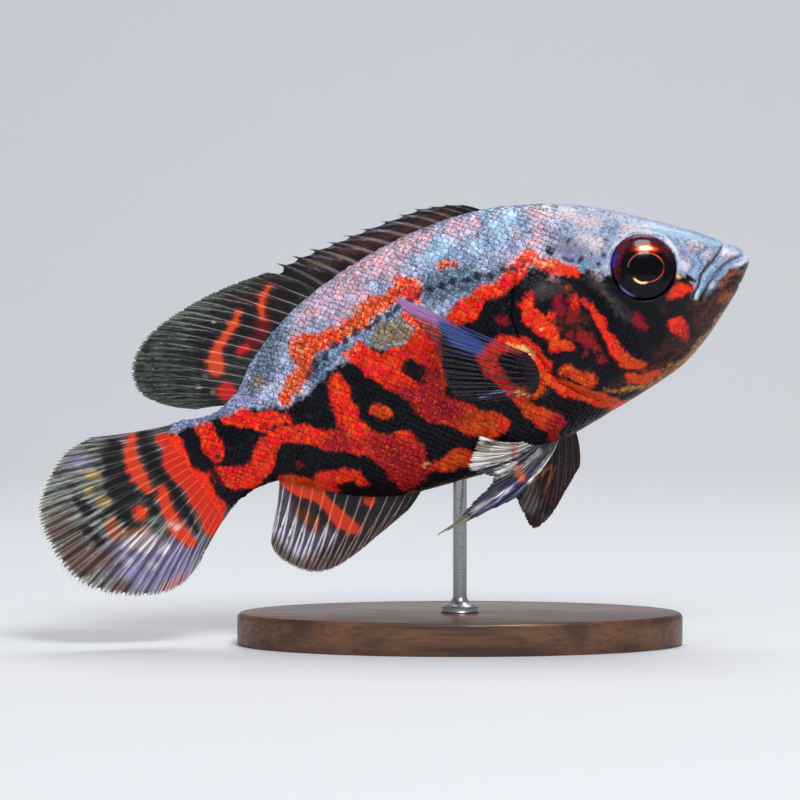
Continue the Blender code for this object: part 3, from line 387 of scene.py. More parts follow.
SLATE = [[(66.0, 16.5, 2.6), (60.0, 15.8, 2.2), (54.0, 15.6, 1.8), (49.5, 16.0, 1.0)],
         [(93.5, 10.5, 1.8), (96.5, 8.0, 1.8)], [(88.0, 10.8, 1.6)], [(66.0, 19.6, 1.2), (56.0, 18.6, 1.0)],
         [(110.0, 10.0, 1.2), (106.0, 13.0, 2.6), (103.0, 16.4, 2.2), (99.0, 19.4, 1.4)]]
GOLD = [[(6.0, -7.4, 0.4), (10.5, -10.6, 0.8), (15.0, -13.4, 1.0), (21.0, -16.6, 0.8), (27.0, -18.2, 0.7),
         (33.0, -17.5, 0.5), (38.5, -15.7, 0.35)], [(23.0, -15.6, 0.5), (29.0, -17.2, 0.4)],
        [(86.0, -22.6, 0.4), (80.0, -23.8, 0.5), (74.0, -24.2, 0.5), (68.0, -24.6, 0.4)],
        [(34.0, -20.0, 0.5), (44.0, -22.0, 0.4)], [(9.0, -9.6, 0.5)]]
GLEAM = [[(54.2, 0.6, 0.2), (52.6, -0.4, 0.5), (51.4, -1.6, 0.7), (50.8, -3.4, 0.5)],
         [(50.6, -6.0, 0.3), (51.2, -7.4, 0.2)], [(56.6, -9.4, 0.2), (54.4, -10.7, 0.3)],
         [(102.4, 7.2, 0.1), (101.2, 8.8, 0.1)], [(46.6, 1.4, 0.1)], [(43.4, 15.9, 0.0), (40.6, 13.6, 0.1)],
         [(15.3, 1.4, 0.3)], [(80.0, -17.6, 0.1)], [(92.1, 3.6, 0.0)], [(96.4, 13.6, 0.0), (97.0, 15.0, 0.2)]]
TAN = [[(7.8, -6.0, 0.9), (6.4, -5.6, 0.8)], [(2.2, -1.6, 0.5), (5.6, -2.0, 0.8), (7.6, -3.0, 0.5)],
       [(38.6, 7.6, 0.8)], [(15.6, 1.6, 0.6)], [(51.0, -11.0, 1.2)]]
BROWN = [[(18.0, -12.6, 1.2), (24.0, -14.4, 1.3), (30.0, -15.6, 1.3), (36.0, -15.6, 1.0)],
         [(14.0, -9.0, 1.8), (9.8, -6.8, 1.9), (4.2, -3.6, 1.3)], [(11.4, -4.4, 1.2), (14.3, -5.2, 1.0)],
         [(25.0, -12.0, 1.0), (20.0, -10.8, 1.0)], [(20.4, -4.0, 0.7)], [(40.6, 0.6, 1.2), (36.6, -0.6, 0.8)],
         [(40.8, -11.0, 1.0)], [(42.6, 1.4, 0.9)]]
BLACK = [[(76.2, 2.8, 1.7), (74.6, 1.6, 1.6)],
         [(39.6, 16.6, 0.7), (39.0, 15.2, 0.5)], [(36.6, 13.8, 0.5), (35.4, 13.0, 0.4)], [(33.8, 12.2, 0.7)],
         [(34.8, 17.0, 0.6)], [(38.7, 20.5, 0.3)], [(27.3, 14.2, 0.5)], [(31.0, 12.8, 0.3)],
         [(28.6, 12.8, 0.3)], [(29.0, 11.6, 0.5)], [(30.7, 10.4, 0.5)], [(33.5, 8.8, 0.4)],
         [(13.2, 1.1, 0.7), (14.2, 0.4, 0.4)], [(98.2, 1.7, 0.5)], [(47.0, 12.0, 1.0), (43.5, 11.6, 0.8)],
         [(125.4, 6.0, 1.0), (125.4, 2.0, 1.4), (124.6, -0.6, 1.0), (123.0, -3.0, 0.7),
          (122.8, -6.0, 0.7), (121.8, -8.8, 0.8), (120.2, -10.6, 0.9)],
         [(122.0, -2.1, 0.4), (119.4, -2.2, 0.4)]]
# Painted highlights: a pale ring on the lit edge of the skin fold round the eye, and shine on the lips and
# the tip of the snout.
BROW_R = EYE_R + 0.7
PAINTED_HIGHLIGHTS = [[(EYE_S + BROW_R * math.cos(a), EYE_W + BROW_R * math.sin(a), 0.22)
         for a in np.radians(np.arange(10, 206, 8))],
        [(13.6, 4.4, 0.6), (13.2, 3.0, 0.5)], [(4.6, 2.9, 0.4), (2.2, 2.4, 0.5)],
        [(-0.2, 0.4, 0.75), (1.8, 0.0, 0.45), (3.2, 0.0, 0.2)],
        [(8.4, -1.9, 0.2), (9.8, -3.1, 0.25)], [(12.4, -2.4, 0.35), (13.2, -3.5, 0.4)]]
# Painted shade: dark lines in the creases of the head, along the cheek's edge, the lip crease, the mouth line
# and the chin.
CREASE_SHADE = [[(36.6, 9.2, 0.7), (36.4, 6.6, 0.6), (36.0, 5.0, 0.3)],
           [(35.9, 2.0, 0.1), (35.4, -3.0, 0.15), (34.9, -7.0, 0.15), (34.1, -10.6, 0.15),
            (32.4, -13.1, 0.1)],
           [(4.2, 4.3, 0.15), (6.0, 3.5, 0.25), (8.0, 2.3, 0.3), (10.4, 0.4, 0.35), (12.6, -1.6, 0.35),
            (13.9, -3.4, 0.3)],
           [(33.0, -13.4, 0.3), (28.0, -14.2, 0.25), (22.0, -13.2, 0.2)],
           [(13.2, 1.0, 0.7), (12.4, 0.0, 0.4)], [(4.8, -2.7, 0.35), (2.6, -3.3, 0.35)],
           [(5.0, 0.8, 0.05), (9.4, -1.9, 0.15), (12.6, -4.6, 0.25)]]
LATERAL_LINE = [(46.0, 15.4), (52.0, 15.7), (60.0, 16.9), (68.0, 17.2), (74.0, 15.8), (82.0, 14.2),
                (91.0, 12.4), (97.0, 9.0)]
REAR_LINE = [(94.0, 0.7), (104.0, 0.9), (112.0, 0.2), (122.0, -0.8)]
BACK_FOOT = np.array([(-2.0, -0.4), (4.0, -0.5), (7.0, -1.2), (10.0, -2.6), (12.8, -4.4), (13.6, 0.8),
                      (16.0, 2.0), (28.4, 6.5), (31.0, 9.0), (34.0, 9.6), (38.0, 12.8), (42.0, 14.2),
                      (50.0, 14.2), (57.0, 13.6), (64.0, 11.6), (67.0, 9.0), (72.0, 9.5), (76.0, 8.0),
                      (80.0, 8.4), (84.0, 11.5), (88.0, 8.6), (93.0, 8.4), (96.0, 6.2), (100.0, 4.9),
                      (104.0, 4.2), (107.0, 5.0), (111.0, 6.6), (118.0, 6.9), (128.0, 7.2)])
STROKES = {"red": RED, "dim_red": DIM_RED, "crimson": CRIMSON, "orange": ORANGE, "haze": HAZE,
           "blush": BLUSH, "blue_and_painted_sheen": PALE_BLUE_AND_PAINTED_SHEEN, "gleam": GLEAM, "violet": VIOLET, "olive": OLIVE, "grey": GREY,
           "slate": SLATE, "gold": GOLD, "tan": TAN, "brown": BROWN, "black": BLACK, "pale": PAINTED_HIGHLIGHTS,
           "crease_shade": CREASE_SHADE}


def depth_in(strokes, s, w):
    """How deep the points (s, w) lie inside strokes, in millimetres. Outside it is below 0."""
    best = np.full(np.shape(s), -9.0)
    for stroke in strokes:
        dots = np.array(stroke + stroke[-1:], float)
        for (s0, w0, r0), (s1, w1, r1) in zip(dots[:-1], dots[1:]):
            ds, dw = s1 - s0, w1 - w0
            f = np.clip(((s - s0) * ds + (w - w0) * dw) / max(ds * ds + dw * dw, 1e-9), 0, 1)
            best = np.maximum(best, r0 + (r1 - r0) * f - np.hypot(s - s0 - f * ds, w - w0 - f * dw))
    return best


def write_field(mesh, name, values):
    layer = mesh.attributes.new(name, "FLOAT", "POINT")
    layer.data.foreach_set("value", np.asarray(values, np.float32).ravel())


def write_markings(mesh, level):
    """Writes the marks on a mesh with these level points. The left side bears the same marks, shifted,
    and those of the right side waver a little."""
    s, w, y = np.moveaxis(level.reshape(-1, 3), -1, 0)
    left = y > 0
    s = s + np.where(left, 1.8 * np.sin(w / 5.0 + 0.8), 0.35 * np.sin(w * 1.3) * np.sin(s * 0.9))
    w = w + np.where(left, 1.4 * np.sin(s / 6.5), 0.3 * np.sin(s * 1.1))
    for name, strokes in STROKES.items():
        grown = 0.3 * ramp(s, 40.0, 50.0) if name == "red" else 0.0
        write_field(mesh, name, depth_in(strokes, s, w) + grown)
    write_field(mesh, "back", w - np.interp(s, BACK_FOOT[:, 0], BACK_FOOT[:, 1]))
    line = np.minimum(away(LATERAL_LINE, s, w), away(REAR_LINE, s, w) + 0.25)
    write_field(mesh, "pores", 0.5 - line + 0.4 * np.sin(s * 2.4))


# The paint: node trees that lay colours over one another, for the hide and all that follows it.
class Paint:
    """Adds nodes to one tree in few words. Object coordinates are in metres."""

    def __init__(self, tree):
        self.tree = tree
        self.place = self.add("ShaderNodeTexCoord").outputs["Object"]

    def add(self, kind, **settings):
        node = self.tree.nodes.new(kind)
        for key, value in settings.items():
            setattr(node, key, value)
        return node

    def feed(self, socket, value):
        if isinstance(value, bpy.types.NodeSocket):
            self.tree.links.new(value, socket)
        else:
            socket.default_value = value

    def field(self, name):
        return self.add("ShaderNodeAttribute", attribute_name=name).outputs["Fac"]

    def noise(self, size, detail=2.0, stretch=(1.0, 1.0, 1.0)):
        """Soft noise from 0 to 1 with lumps of that size in millimetres."""
        spread = self.add("ShaderNodeMapping")
        self.feed(spread.inputs["Vector"], self.place)
        spread.inputs["Scale"].default_value = stretch
        node = self.add("ShaderNodeTexNoise")
        self.feed(node.inputs["Vector"], spread.outputs["Vector"])
        node.inputs["Scale"].default_value = 1 / (size * MM)
        node.inputs["Detail"].default_value = detail
        return node.outputs["Fac"]

    def math(self, operation, a, b=0.0, c=0.0):
        node = self.add("ShaderNodeMath", operation=operation)
        for socket, value in zip(node.inputs, (a, b, c)):
            self.feed(socket, value)
        return node.outputs[0]

    def step(self, value, low, high, start=0.0, end=1.0):
        """A smooth rise from start to end as value goes from low to high."""
        node = self.add("ShaderNodeMapRange", interpolation_type="SMOOTHSTEP")
        for key, given in zip(("Value", "From Min", "From Max", "To Min", "To Max"),
                              (value, low, high, start, end)):
            self.feed(node.inputs[key], given)
        return node.outputs["Result"]

    def mix(self, share, under, over):
        node = self.add("ShaderNodeMix", data_type="RGBA")
        for socket, value in zip((node.inputs[0], node.inputs[6], node.inputs[7]), (share, under, over)):
            self.feed(socket, value)
        return node.outputs[2]

    def shader(self, colour, roughness, normal=None, **constants):
        """Ends the tree in one Principled shader. constants are numbers set on its own sockets."""
        shader = self.tree.nodes["Principled BSDF"]
        self.feed(shader.inputs["Base Color"], colour)
        self.feed(shader.inputs["Roughness"], roughness)
        if normal is not None:
            self.feed(shader.inputs["Normal"], normal)
        for key, value in constants.items():
            self.feed(shader.inputs[key.replace("_", " ")], value)

    def bumped(self, height, distance_mm, strength=1.0):
        node = self.add("ShaderNodeBump")
        self.feed(node.inputs["Height"], height)
        node.inputs["Distance"].default_value = distance_mm * MM
        node.inputs["Strength"].default_value = strength
        return node.outputs["Normal"]


def rgb(red, green, blue):
    """A screen colour of 0 to 255 as the linear colour that a shader takes."""
    parts = [c / 255 for c in (red, green, blue)]
    return tuple(c / 12.92 if c < 0.04045 else ((c + 0.055) / 1.055) ** 2.4 for c in parts) + (1.0,)


def new_material(name):
    material = bpy.data.materials.new(name)
    material.use_nodes = True
    return material, Paint(material.node_tree)


def lay_strokes(paint, colour, ragged, layers):
    """Lays named fields over a colour, each as (field, its colour, edge softness, raggedness, share)."""
    for name, over, soft, rough, share in layers:
        edge = paint.math("MULTIPLY_ADD", ragged, 2 * rough, paint.math("SUBTRACT", paint.field(name), rough))
        colour = paint.mix(paint.step(edge, -soft, soft, 0.0, share), colour, over)
    return colour


def mottled(paint, colour, *patches):
    """Lays noise over a colour in soft patches, each as (noise, low, high, share, its colour)."""
    for noise, low, high, share, over in patches:
        colour = paint.mix(paint.step(noise, low, high, 0.0, share), colour, over)
    return colour


def band_colour(paint, upper, grit, speckle, patchy, fleck):
    """The red-orange of the bands, crimson or orange in places and flecked with pale pink on the back."""
    red = mottled(paint, rgb(238, 42, 18), (paint.field("crimson"), -2.5, 1.5, 1.0, rgb(160, 10, 26)),
                  (paint.field("orange"), -2.5, 1.5, 1.0, rgb(214, 66, 14)),
                  (patchy, 0.52, 0.7, 0.4, rgb(130, 12, 12)), (speckle, 0.55, 0.72, 0.6, rgb(92, 12, 14)),
                  (grit, 0.55, 0.72, 0.5, rgb(255, 128, 60)))
    flecked = paint.math("MULTIPLY", upper, paint.step(fleck, 0.48, 0.62, 0.0, 0.5))
    flecks = mottled(paint, rgb(252, 190, 150), (speckle, 0.45, 0.55, 1.0, rgb(120, 74, 66)))
    return paint.mix(flecked, red, flecks)


def soft_marks(paint, grit, speckle, patchy, fleck):
    """The soft marks that lie under the red bands, as lay_strokes takes them."""
    haze = mottled(paint, rgb(230, 148, 152), (speckle, 0.42, 0.62, 1.0, rgb(224, 188, 198)),
                   (patchy, 0.6, 0.42, 0.5, rgb(146, 160, 190)), (fleck, 0.52, 0.66, 0.7, rgb(104, 110, 132)))
    blush = mottled(paint, rgb(206, 178, 188), (grit, 0.42, 0.62, 1.0, rgb(226, 214, 206)),
                    (fleck, 0.54, 0.66, 0.6, rgb(112, 112, 136)))
    slate = mottled(paint, rgb(44, 58, 78), (grit, 0.42, 0.66, 1.0, rgb(112, 134, 152)))
    olive = mottled(paint, rgb(70, 72, 58), (grit, 0.36, 0.66, 1.0, rgb(168, 152, 106)),
                    (fleck, 0.5, 0.66, 0.7, rgb(190, 112, 60)), (patchy, 0.5, 0.66, 0.5, rgb(84, 106, 100)))
    brown = mottled(paint, rgb(40, 14, 14), (grit, 0.34, 0.7, 1.0, rgb(98, 48, 30)),
                    (speckle, 0.5, 0.7, 0.6, rgb(30, 8, 16)))
    tan = mottled(paint, rgb(132, 56, 30), (grit, 0.34, 0.7, 1.0, rgb(184, 98, 56)))
    gold = mottled(paint, rgb(112, 50, 16), (speckle, 0.34, 0.68, 1.0, rgb(214, 146, 62)))
    return [
        # Pale blue, with painted sheen on the snout, lips and back.
        ("blue_and_painted_sheen", rgb(164, 196, 222), 0.8, 0.9, 0.7),
        ("violet", rgb(122, 116, 168), 0.8, 0.6, 0.6),
        ("haze", haze, 1.4, 2.6, 0.85),
        ("blush", blush, 1.2, 1.8, 0.75),
        ("grey", rgb(92, 82, 84), 1.4, 1.6, 0.5),
        ("slate", slate, 1.2, 2.0, 0.8),
        ("olive", olive, 0.9, 1.4, 0.9),
        ("brown", brown, 1.2, 1.3, 0.85),
        ("tan", tan, 0.8, 0.9, 0.8),
        ("gold", gold, 0.45, 0.7, 0.85),
        ("dim_red", rgb(140, 18, 30), 0.7, 1.3, 0.85),
    ]


# Sharp marks. The yellow-white ones are painted glints, the pale ones painted highlights and the dark lines
# in the creases painted shade; the black spots and pores are marks.
SHARP_MARKS = [
    ("gleam", rgb(255, 214, 140), 0.6, 1.5, 0.85),
    ("black", rgb(10, 8, 20), 0.4, 0.5, 0.95),
    ("pale", rgb(222, 216, 232), 0.35, 0.25, 0.85),
    ("crease_shade", rgb(8, 5, 10), 0.25, 0.15, 0.9),
    ("pores", rgb(22, 24, 44), 0.35, 0.5, 0.85),
]


def build_flesh_colours():
    """The node group of the body's markings, with painted glints, highlights, sheen and crease shade among
    them, which the skin and the scales share.
    """
    group = bpy.data.node_groups.new("oscar_markings_and_painted_light", "ShaderNodeTree")
    group.interface.new_socket("Colour", in_out="OUTPUT", socket_type="NodeSocketColor")
    group.interface.new_socket("Speckle", in_out="OUTPUT", socket_type="NodeSocketFloat")
    paint = Paint(group)
    grit, speckle, patchy, cloud = (paint.noise(size, 2.0) for size in (0.42, 0.85, 2.2, 7.0))
    ragged, fleck = paint.noise(0.95, 4.0), paint.noise(0.55, 1.0)
    back = mottled(paint, rgb(100, 136, 174), (cloud, 0.38, 0.62, 1.0, rgb(154, 162, 196)),
                   (patchy, 0.45, 0.7, 0.7, rgb(186, 192, 206)), (speckle, 0.5, 0.68, 0.7, rgb(78, 94, 122)),
                   (grit, 0.54, 0.7, 0.7, rgb(222, 226, 226)), (fleck, 0.56, 0.68, 0.7, rgb(62, 72, 92)))
    flank = mottled(paint, rgb(5, 5, 12), (cloud, 0.45, 0.7, 1.0, rgb(16, 9, 22)),
                    (grit, 0.6, 0.8, 0.25, rgb(44, 44, 62)))
    flank = lay_strokes(paint, flank, ragged, [("red", rgb(92, 10, 16), 0.8, 0.9, 0.8),
                                               ("dim_red", rgb(60, 10, 18), 1.0, 0.8, 0.8)])
    edge = paint.math("MULTIPLY_ADD", ragged, 3.0, paint.math("SUBTRACT", paint.field("back"), 1.5))
    upper = paint.step(edge, -0.8, 0.8)
    colour = paint.mix(upper, flank, back)
    colour = lay_strokes(paint, colour, ragged, soft_marks(paint, grit, speckle, patchy, fleck))
    loose = paint.math("MULTIPLY", upper, paint.math("MULTIPLY_ADD", fleck, 3.6, -1.8))
    edge = paint.math("MULTIPLY_ADD", ragged, 1.9, paint.math("SUBTRACT", paint.field("red"), 0.95))
    red = band_colour(paint, upper, grit, speckle, patchy, fleck)
    colour = paint.mix(paint.step(paint.math("ADD", edge, loose), -0.5, 0.5), colour, red)
    colour = lay_strokes(paint, colour, ragged, SHARP_MARKS)
    out = paint.add("NodeGroupOutput")
    paint.feed(out.inputs["Colour"], colour)
    paint.feed(out.inputs["Speckle"], speckle)
    return group


FLESH_COLOURS = build_flesh_colours()

# The hide itself: rings of points from snout to tail sheath, closed at both ends, with its relief.
SNOUT_RINGS, HEAD_RINGS, TRUNK_RINGS = 0.2, 0.42, 0.85
SNOUT_END, HEAD_END = 16.0, 53.0
SKIN_AROUND = 300


def ring_places():
    """Places of the rings from snout to tail sheath: close on the face, wider on the trunk."""
    rings = np.concatenate([
        [0.03, 0.12, 0.25, 0.42], np.arange(0.6, SNOUT_END, SNOUT_RINGS),
        np.arange(SNOUT_END, HEAD_END, HEAD_RINGS), np.arange(HEAD_END, RIBS[-1][0], TRUNK_RINGS),
        [RIBS[-1][0]],
    ])
    return place_at(rings)


def grid_faces(rows, columns, closed):
    """Quads of a grid of points, rows by columns, joined round its columns if closed."""
    i, j = np.meshgrid(np.arange(rows - 1), np.arange(columns if closed else columns - 1), indexing="ij")
    k = (j + 1) % columns
    quads = np.stack([i * columns + j, (i + 1) * columns + j, (i + 1) * columns + k, i * columns + k], -1)
    return quads.reshape(-1, 4)


def mesh_of(name, level, faces, fans=()):
    """A smooth mesh object from level points, with its faces turned outwards."""
    corners = placed(level)
    faces = [tuple(f) for f in np.asarray(faces).tolist()] + [tuple(f) for f in fans]
    firsts = np.array([f[:3] for f in faces])
    volume = np.einsum("ij,ij->i", corners[firsts[:, 0]],
                       np.cross(corners[firsts[:, 1]], corners[firsts[:, 2]])).sum()
    if volume < 0:
        faces = [f[::-1] for f in faces]
    mesh = bpy.data.meshes.new(name)
    mesh.from_pydata(corners.tolist(), [], faces)
    mesh.shade_smooth()
    obj = bpy.data.objects.new(name, mesh)
    bpy.context.scene.collection.objects.link(obj)
    return obj


def dress(obj, material, slot, *nodes):
    """Gives a finished piece its material and sets it on the frame in place of its CAD nodes."""
    obj.data.materials.clear()
    obj.data.materials.append(material)
    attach(obj, "root")
    if nodes:
        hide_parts(*nodes)
    return obj


def build_skin():
    places = ring_places()
    angles = np.linspace(0, 2 * math.pi, SKIN_AROUND, endpoint=False) + 1e-6
    t, angle = np.meshgrid(places, angles, indexing="ij")
    bare = bare_skin(t, angle)
    sunk = -SCALE_DEPTH * scaled_share(bare[..., 0], bare[..., 1])
    level = sunk_round_eyes(skin(t, angle, sunk))
    rows = len(places)
    ends = [(-0.02, RIBS[0][1], 0.0), tuple(level[-1].mean(axis=0))]
    tip, tail, last = rows * SKIN_AROUND, rows * SKIN_AROUND + 1, (rows - 1) * SKIN_AROUND
    fans = []
    for j in range(SKIN_AROUND):
        k = (j + 1) % SKIN_AROUND
        fans += [(tip, j, k), (tail, last + k, last + j)]
    level = np.vstack([level.reshape(-1, 3), ends])
    obj = mesh_of("skin", level, grid_faces(rows, SKIN_AROUND, True), fans)
    write_markings(obj.data, level)
    write_field(obj.data, "slick", 1 - ramp(level[:, 0], 12.0, 28.0))
    return obj


def skin_material():
    material, paint = new_material("bare_skin")
    marks = paint.add("ShaderNodeGroup", node_tree=FLESH_COLOURS)
    fine = paint.noise(0.35, 3.0)
    height = paint.math("ADD", paint.math("MULTIPLY", fine, 0.5), marks.outputs["Speckle"])
    paint.shader(marks.outputs["Colour"], paint.step(marks.outputs["Speckle"], 0.3, 0.8, 0.34, 0.5),
                 paint.bumped(height, 0.1, 0.6), Specular_IOR_Level=0.16, Coat_Roughness=0.14,
                 Coat_Weight=paint.step(paint.field("slick"), 0.0, 1.0, 0.03, 0.25))
    return material


fish_skin = build_skin()
dress(fish_skin, skin_material(), "skin", "head", "upper_lip", "lower_jaw", "gill_cover_left",
      "gill_cover_right", "torso", "tail_stalk")

# The scales. Thin overlapping plates of bone in clear skin, a millimetre and a half apart, in rows
# along the flank that end at the back and the belly. Smaller ones cover the cheek and gill cover.
SCALE_PITCH, CHEEK_PITCH = 1.55, 1.25
SCALE_SIDES = 10
SCALE_DOME, SCALE_SHOULDER, SCALE_UNDER = 0.05, 0.035, -0.06
SCALE_LENGTH, SCALE_WIDTH, SCALE_THICKNESS = 1.5, 1.2, 1.1
SCALES_FROM = 16.0
LATTICE_ALONG, LATTICE_AROUND = 500, 240
SCATTER, TWIST, SIZE_SPREAD = 0.07, 0.09, 0.06
RISE, RISE_SPREAD = 0.09, 0.025
ROOT_DEPTH = 0.10


def scale_shape():
    """One scale, a unit long and wide: domed above, flat below, its rear edge round."""
    turn = np.arange(SCALE_SIDES) * 2 * math.pi / SCALE_SIDES
    rim = np.stack([np.cos(turn) * 0.5, np.sin(turn) * 0.5 * (1 - 0.12 * np.cos(turn)), turn * 0], -1)
    mid = rim * 0.7 + np.array([0.0, 0.0, SCALE_SHOULDER])
    points = np.vstack([[(0, 0, SCALE_DOME)], mid, rim, [(0, 0, SCALE_UNDER)]])
    faces = []
    for a in range(SCALE_SIDES):
        b = (a + 1) % SCALE_SIDES
        faces.append((0, 1 + a, 1 + b))
        faces.append((1 + a, 1 + SCALE_SIDES + a, 1 + SCALE_SIDES + b, 1 + b))
        faces.append((1 + SCALE_SIDES + b, 1 + SCALE_SIDES + a, 1 + 2 * SCALE_SIDES))
    mesh = bpy.data.meshes.new("scale_shape")
    mesh.from_pydata(points.tolist(), [], faces)
    mesh.shade_smooth()
    shape = bpy.data.objects.new("scale_shape", mesh)
    bpy.context.scene.collection.objects.link(shape)
    return shape, points


def lay_scales_tree():
    """Geometry nodes that set one shape on each point, turned and sized by the point's own values."""
    tree = bpy.data.node_groups.new("lay_scales", "GeometryNodeTree")
    for name, kind in (("Points", "NodeSocketGeometry"), ("Shape", "NodeSocketObject"),
                       ("Size", "NodeSocketFloat"), ("Finish", "NodeSocketMaterial")):
        tree.interface.new_socket(name, in_out="INPUT", socket_type=kind)
    tree.interface.new_socket("Scales", in_out="OUTPUT", socket_type="NodeSocketGeometry")
    given, out = tree.nodes.new("NodeGroupInput"), tree.nodes.new("NodeGroupOutput")
    shape = tree.nodes.new("GeometryNodeObjectInfo")
    turn, size = (tree.nodes.new("GeometryNodeInputNamedAttribute") for _ in range(2))
    for node, name in ((turn, "turn"), (size, "size")):
        node.data_type = "FLOAT_VECTOR"
        node.inputs["Name"].default_value = name
    scale = tree.nodes.new("ShaderNodeVectorMath")
    scale.operation = "SCALE"
    lay = tree.nodes.new("GeometryNodeInstanceOnPoints")
    real = tree.nodes.new("GeometryNodeRealizeInstances")
    finish = tree.nodes.new("GeometryNodeSetMaterial")
    for start, end in (
        (given.outputs["Points"], lay.inputs["Points"]),
        (given.outputs["Shape"], shape.inputs["Object"]),
        (shape.outputs["Geometry"], lay.inputs["Instance"]),
        (turn.outputs["Attribute"], lay.inputs["Rotation"]),
        (size.outputs["Attribute"], scale.inputs[0]),
        (given.outputs["Size"], scale.inputs["Scale"]),
        (scale.outputs[0], lay.inputs["Scale"]),
        (lay.outputs["Instances"], real.inputs["Geometry"]),
        (real.outputs["Geometry"], finish.inputs["Geometry"]),
        (given.outputs["Finish"], finish.inputs["Material"]),
        (finish.outputs["Geometry"], out.inputs["Scales"]),
    ):
        tree.links.new(start, end)
    return tree


def rows_of_scales(side, pitch, keep, seed):
    """Places t and angles of a lattice of scales, rows parallel to the middle of the flank."""
    places = np.linspace(place_at(SCALES_FROM), RIB_PLACES[-1], LATTICE_ALONG)
    angles = np.linspace(1e-3, math.pi - 1e-3, LATTICE_AROUND)
    middle = LATTICE_AROUND // 2
    field = bare_skin(*np.meshgrid(places, angles, indexing="ij"))
    along = np.concatenate([[0], np.cumsum(np.linalg.norm(np.diff(field[:, middle], axis=0), axis=-1))])
    around = np.concatenate([np.zeros((LATTICE_ALONG, 1)),
                             np.cumsum(np.linalg.norm(np.diff(field, axis=1), axis=-1), axis=1)], axis=1)
    around -= around[:, middle:middle + 1]
    draw = np.random.default_rng(seed)
    found = []
    for column, x in enumerate(np.arange(0, along[-1], pitch / 2)):
        girth = np.array([np.interp(x, along, around[:, k]) for k in range(LATTICE_AROUND)])
        q = np.arange(math.ceil(girth[0] / pitch), girth[-1] / pitch) + (column % 2) / 2
        q = q[(q * pitch > girth[0]) & (q * pitch < girth[-1])] * pitch
        q = q + draw.normal(0, SCATTER, len(q)) * pitch
        t = np.interp(x + draw.normal(0, SCATTER, len(q)) * pitch, along, places)
        found += list(zip(t, np.interp(q, girth, angles)))
    t, angle = np.array(found).T
    size = keep(*np.moveaxis(bare_skin(t, angle)[:, :2], -1, 0))
    kept = size > 0.05
    return t[kept], side * angle[kept], size[kept], draw


def build_scales(name, side, pitch, keep, seed, tree, finish):
    """One coat of scales, each set on the skin, raised at its rear edge, and given its own tone."""
    shape, local = scale_shape()
    t, angle, size, draw = rows_of_scales(side, pitch, keep, seed)
    root, normal = skin(t, angle, 0.0), skin_normal(t, angle)
    ahead = unit(skin(t + 0.01, angle, 0.0) - skin(t - 0.01, angle, 0.0))
    ahead = unit(ahead - normal * np.sum(ahead * normal, -1, keepdims=True))
    ahead = unit(ahead + np.cross(normal, ahead) * draw.normal(0, TWIST, (len(t), 1)))
    raised = unit(ahead + normal * draw.normal(RISE, RISE_SPREAD, (len(t), 1)))
    top = unit(np.cross(np.cross(raised, normal), raised))
    top *= np.sign(np.sum(top * normal, -1, keepdims=True))
    across = np.cross(top, raised)
    root = root - normal * (ROOT_DEPTH + ROOT_DEPTH * (1 - size))[:, None]
    sizes = np.stack([size * SCALE_LENGTH, size * SCALE_WIDTH, size * SCALE_THICKNESS], -1)
    sizes = sizes * draw.normal(1, SIZE_SPREAD, (len(t), 1)) * pitch
    points = bpy.data.meshes.new(name)
    points.from_pydata(placed(root).tolist(), [], [])
    small = 0.01
    turns = []
    for start, x, z in zip(root, raised, top):
        x, z = (Vector(placed(start + v * small) - placed(start)).normalized() for v in (x, z))
        turns.append(Matrix((x, z.cross(x), z)).transposed().to_euler())
    for key, values in (("turn", turns), ("size", sizes)):
        layer = points.attributes.new(key, "FLOAT_VECTOR", "POINT")
        layer.data.foreach_set("vector", np.array(values, np.float32).ravel())
    obj = bpy.data.objects.new(name, points)
    bpy.context.scene.collection.objects.link(obj)
    laid = obj.modifiers.new("lay_scales", "NODES")
    laid.node_group = tree
    for socket, value in (("Shape", shape), ("Size", MM), ("Finish", finish)):
        laid[tree.interface.items_tree[socket].identifier] = value
    bpy.context.view_layer.update()
    mesh = bpy.data.meshes.new_from_object(obj.evaluated_get(bpy.context.evaluated_depsgraph_get()))
    obj.modifiers.clear()
    obj.data = mesh
    for key in ("turn", "size"):
        if key in mesh.attributes:
            mesh.attributes.remove(mesh.attributes[key])
    spread = local[None] * sizes[:, None]
    level = (root[:, None] + spread[..., :1] * raised[:, None] + spread[..., 1:2] * across[:, None]
             + spread[..., 2:] * top[:, None])
    write_markings(mesh, level)
    write_field(mesh, "tone", np.repeat(draw.normal(0, 1, len(t)), len(local)))
    write_field(mesh, "hue", np.repeat(draw.normal(0, 1, len(t)), len(local)))
    write_field(mesh, "rim", np.tile(np.hypot(local[:, 0], local[:, 1]) * 2, len(t)))
    write_bake_map(mesh, t, angle, local)
    bpy.data.objects.remove(shape)
    return obj


def write_bake_map(mesh, t, angle, local):
    """The map OFBake: each scale is a small patch at its root's place on the unrolled skin."""
    roots = np.stack([0.02 + 0.96 * t / RIB_PLACES[-1], 0.5 + 0.48 * angle / math.pi], -1)
    patch = roots[:, None] + local[None, :, :2] * 0.003
    corners = np.empty(len(mesh.loops), np.int32)
    mesh.loops.foreach_get("vertex_index", corners)
    layer = mesh.uv_layers.new(name="OFBake")
    layer.uv.foreach_set("vector", patch.reshape(-1, 2)[corners].astype(np.float32).ravel())


def trunk_scales(s, w):
    """Full size behind the gill cover, and smaller up over the nape."""
    to_gill, gill_side = distance(line_through(GILL_EDGE), s, w)
    behind = ramp(to_gill * gill_side, 0.1, 0.6)
    nape = ramp(s + (w - 20.0) * 0.3, 31.0, 38.0) * ramp(w, 10.5, 12.5) * 0.8
    to_sheath = (1 - 0.45 * ramp(s, 112.0, 124.0)) * (1 - ramp(s - 0.28 * w, 124.5, 126.0))
    return np.maximum(behind, nape) * to_sheath


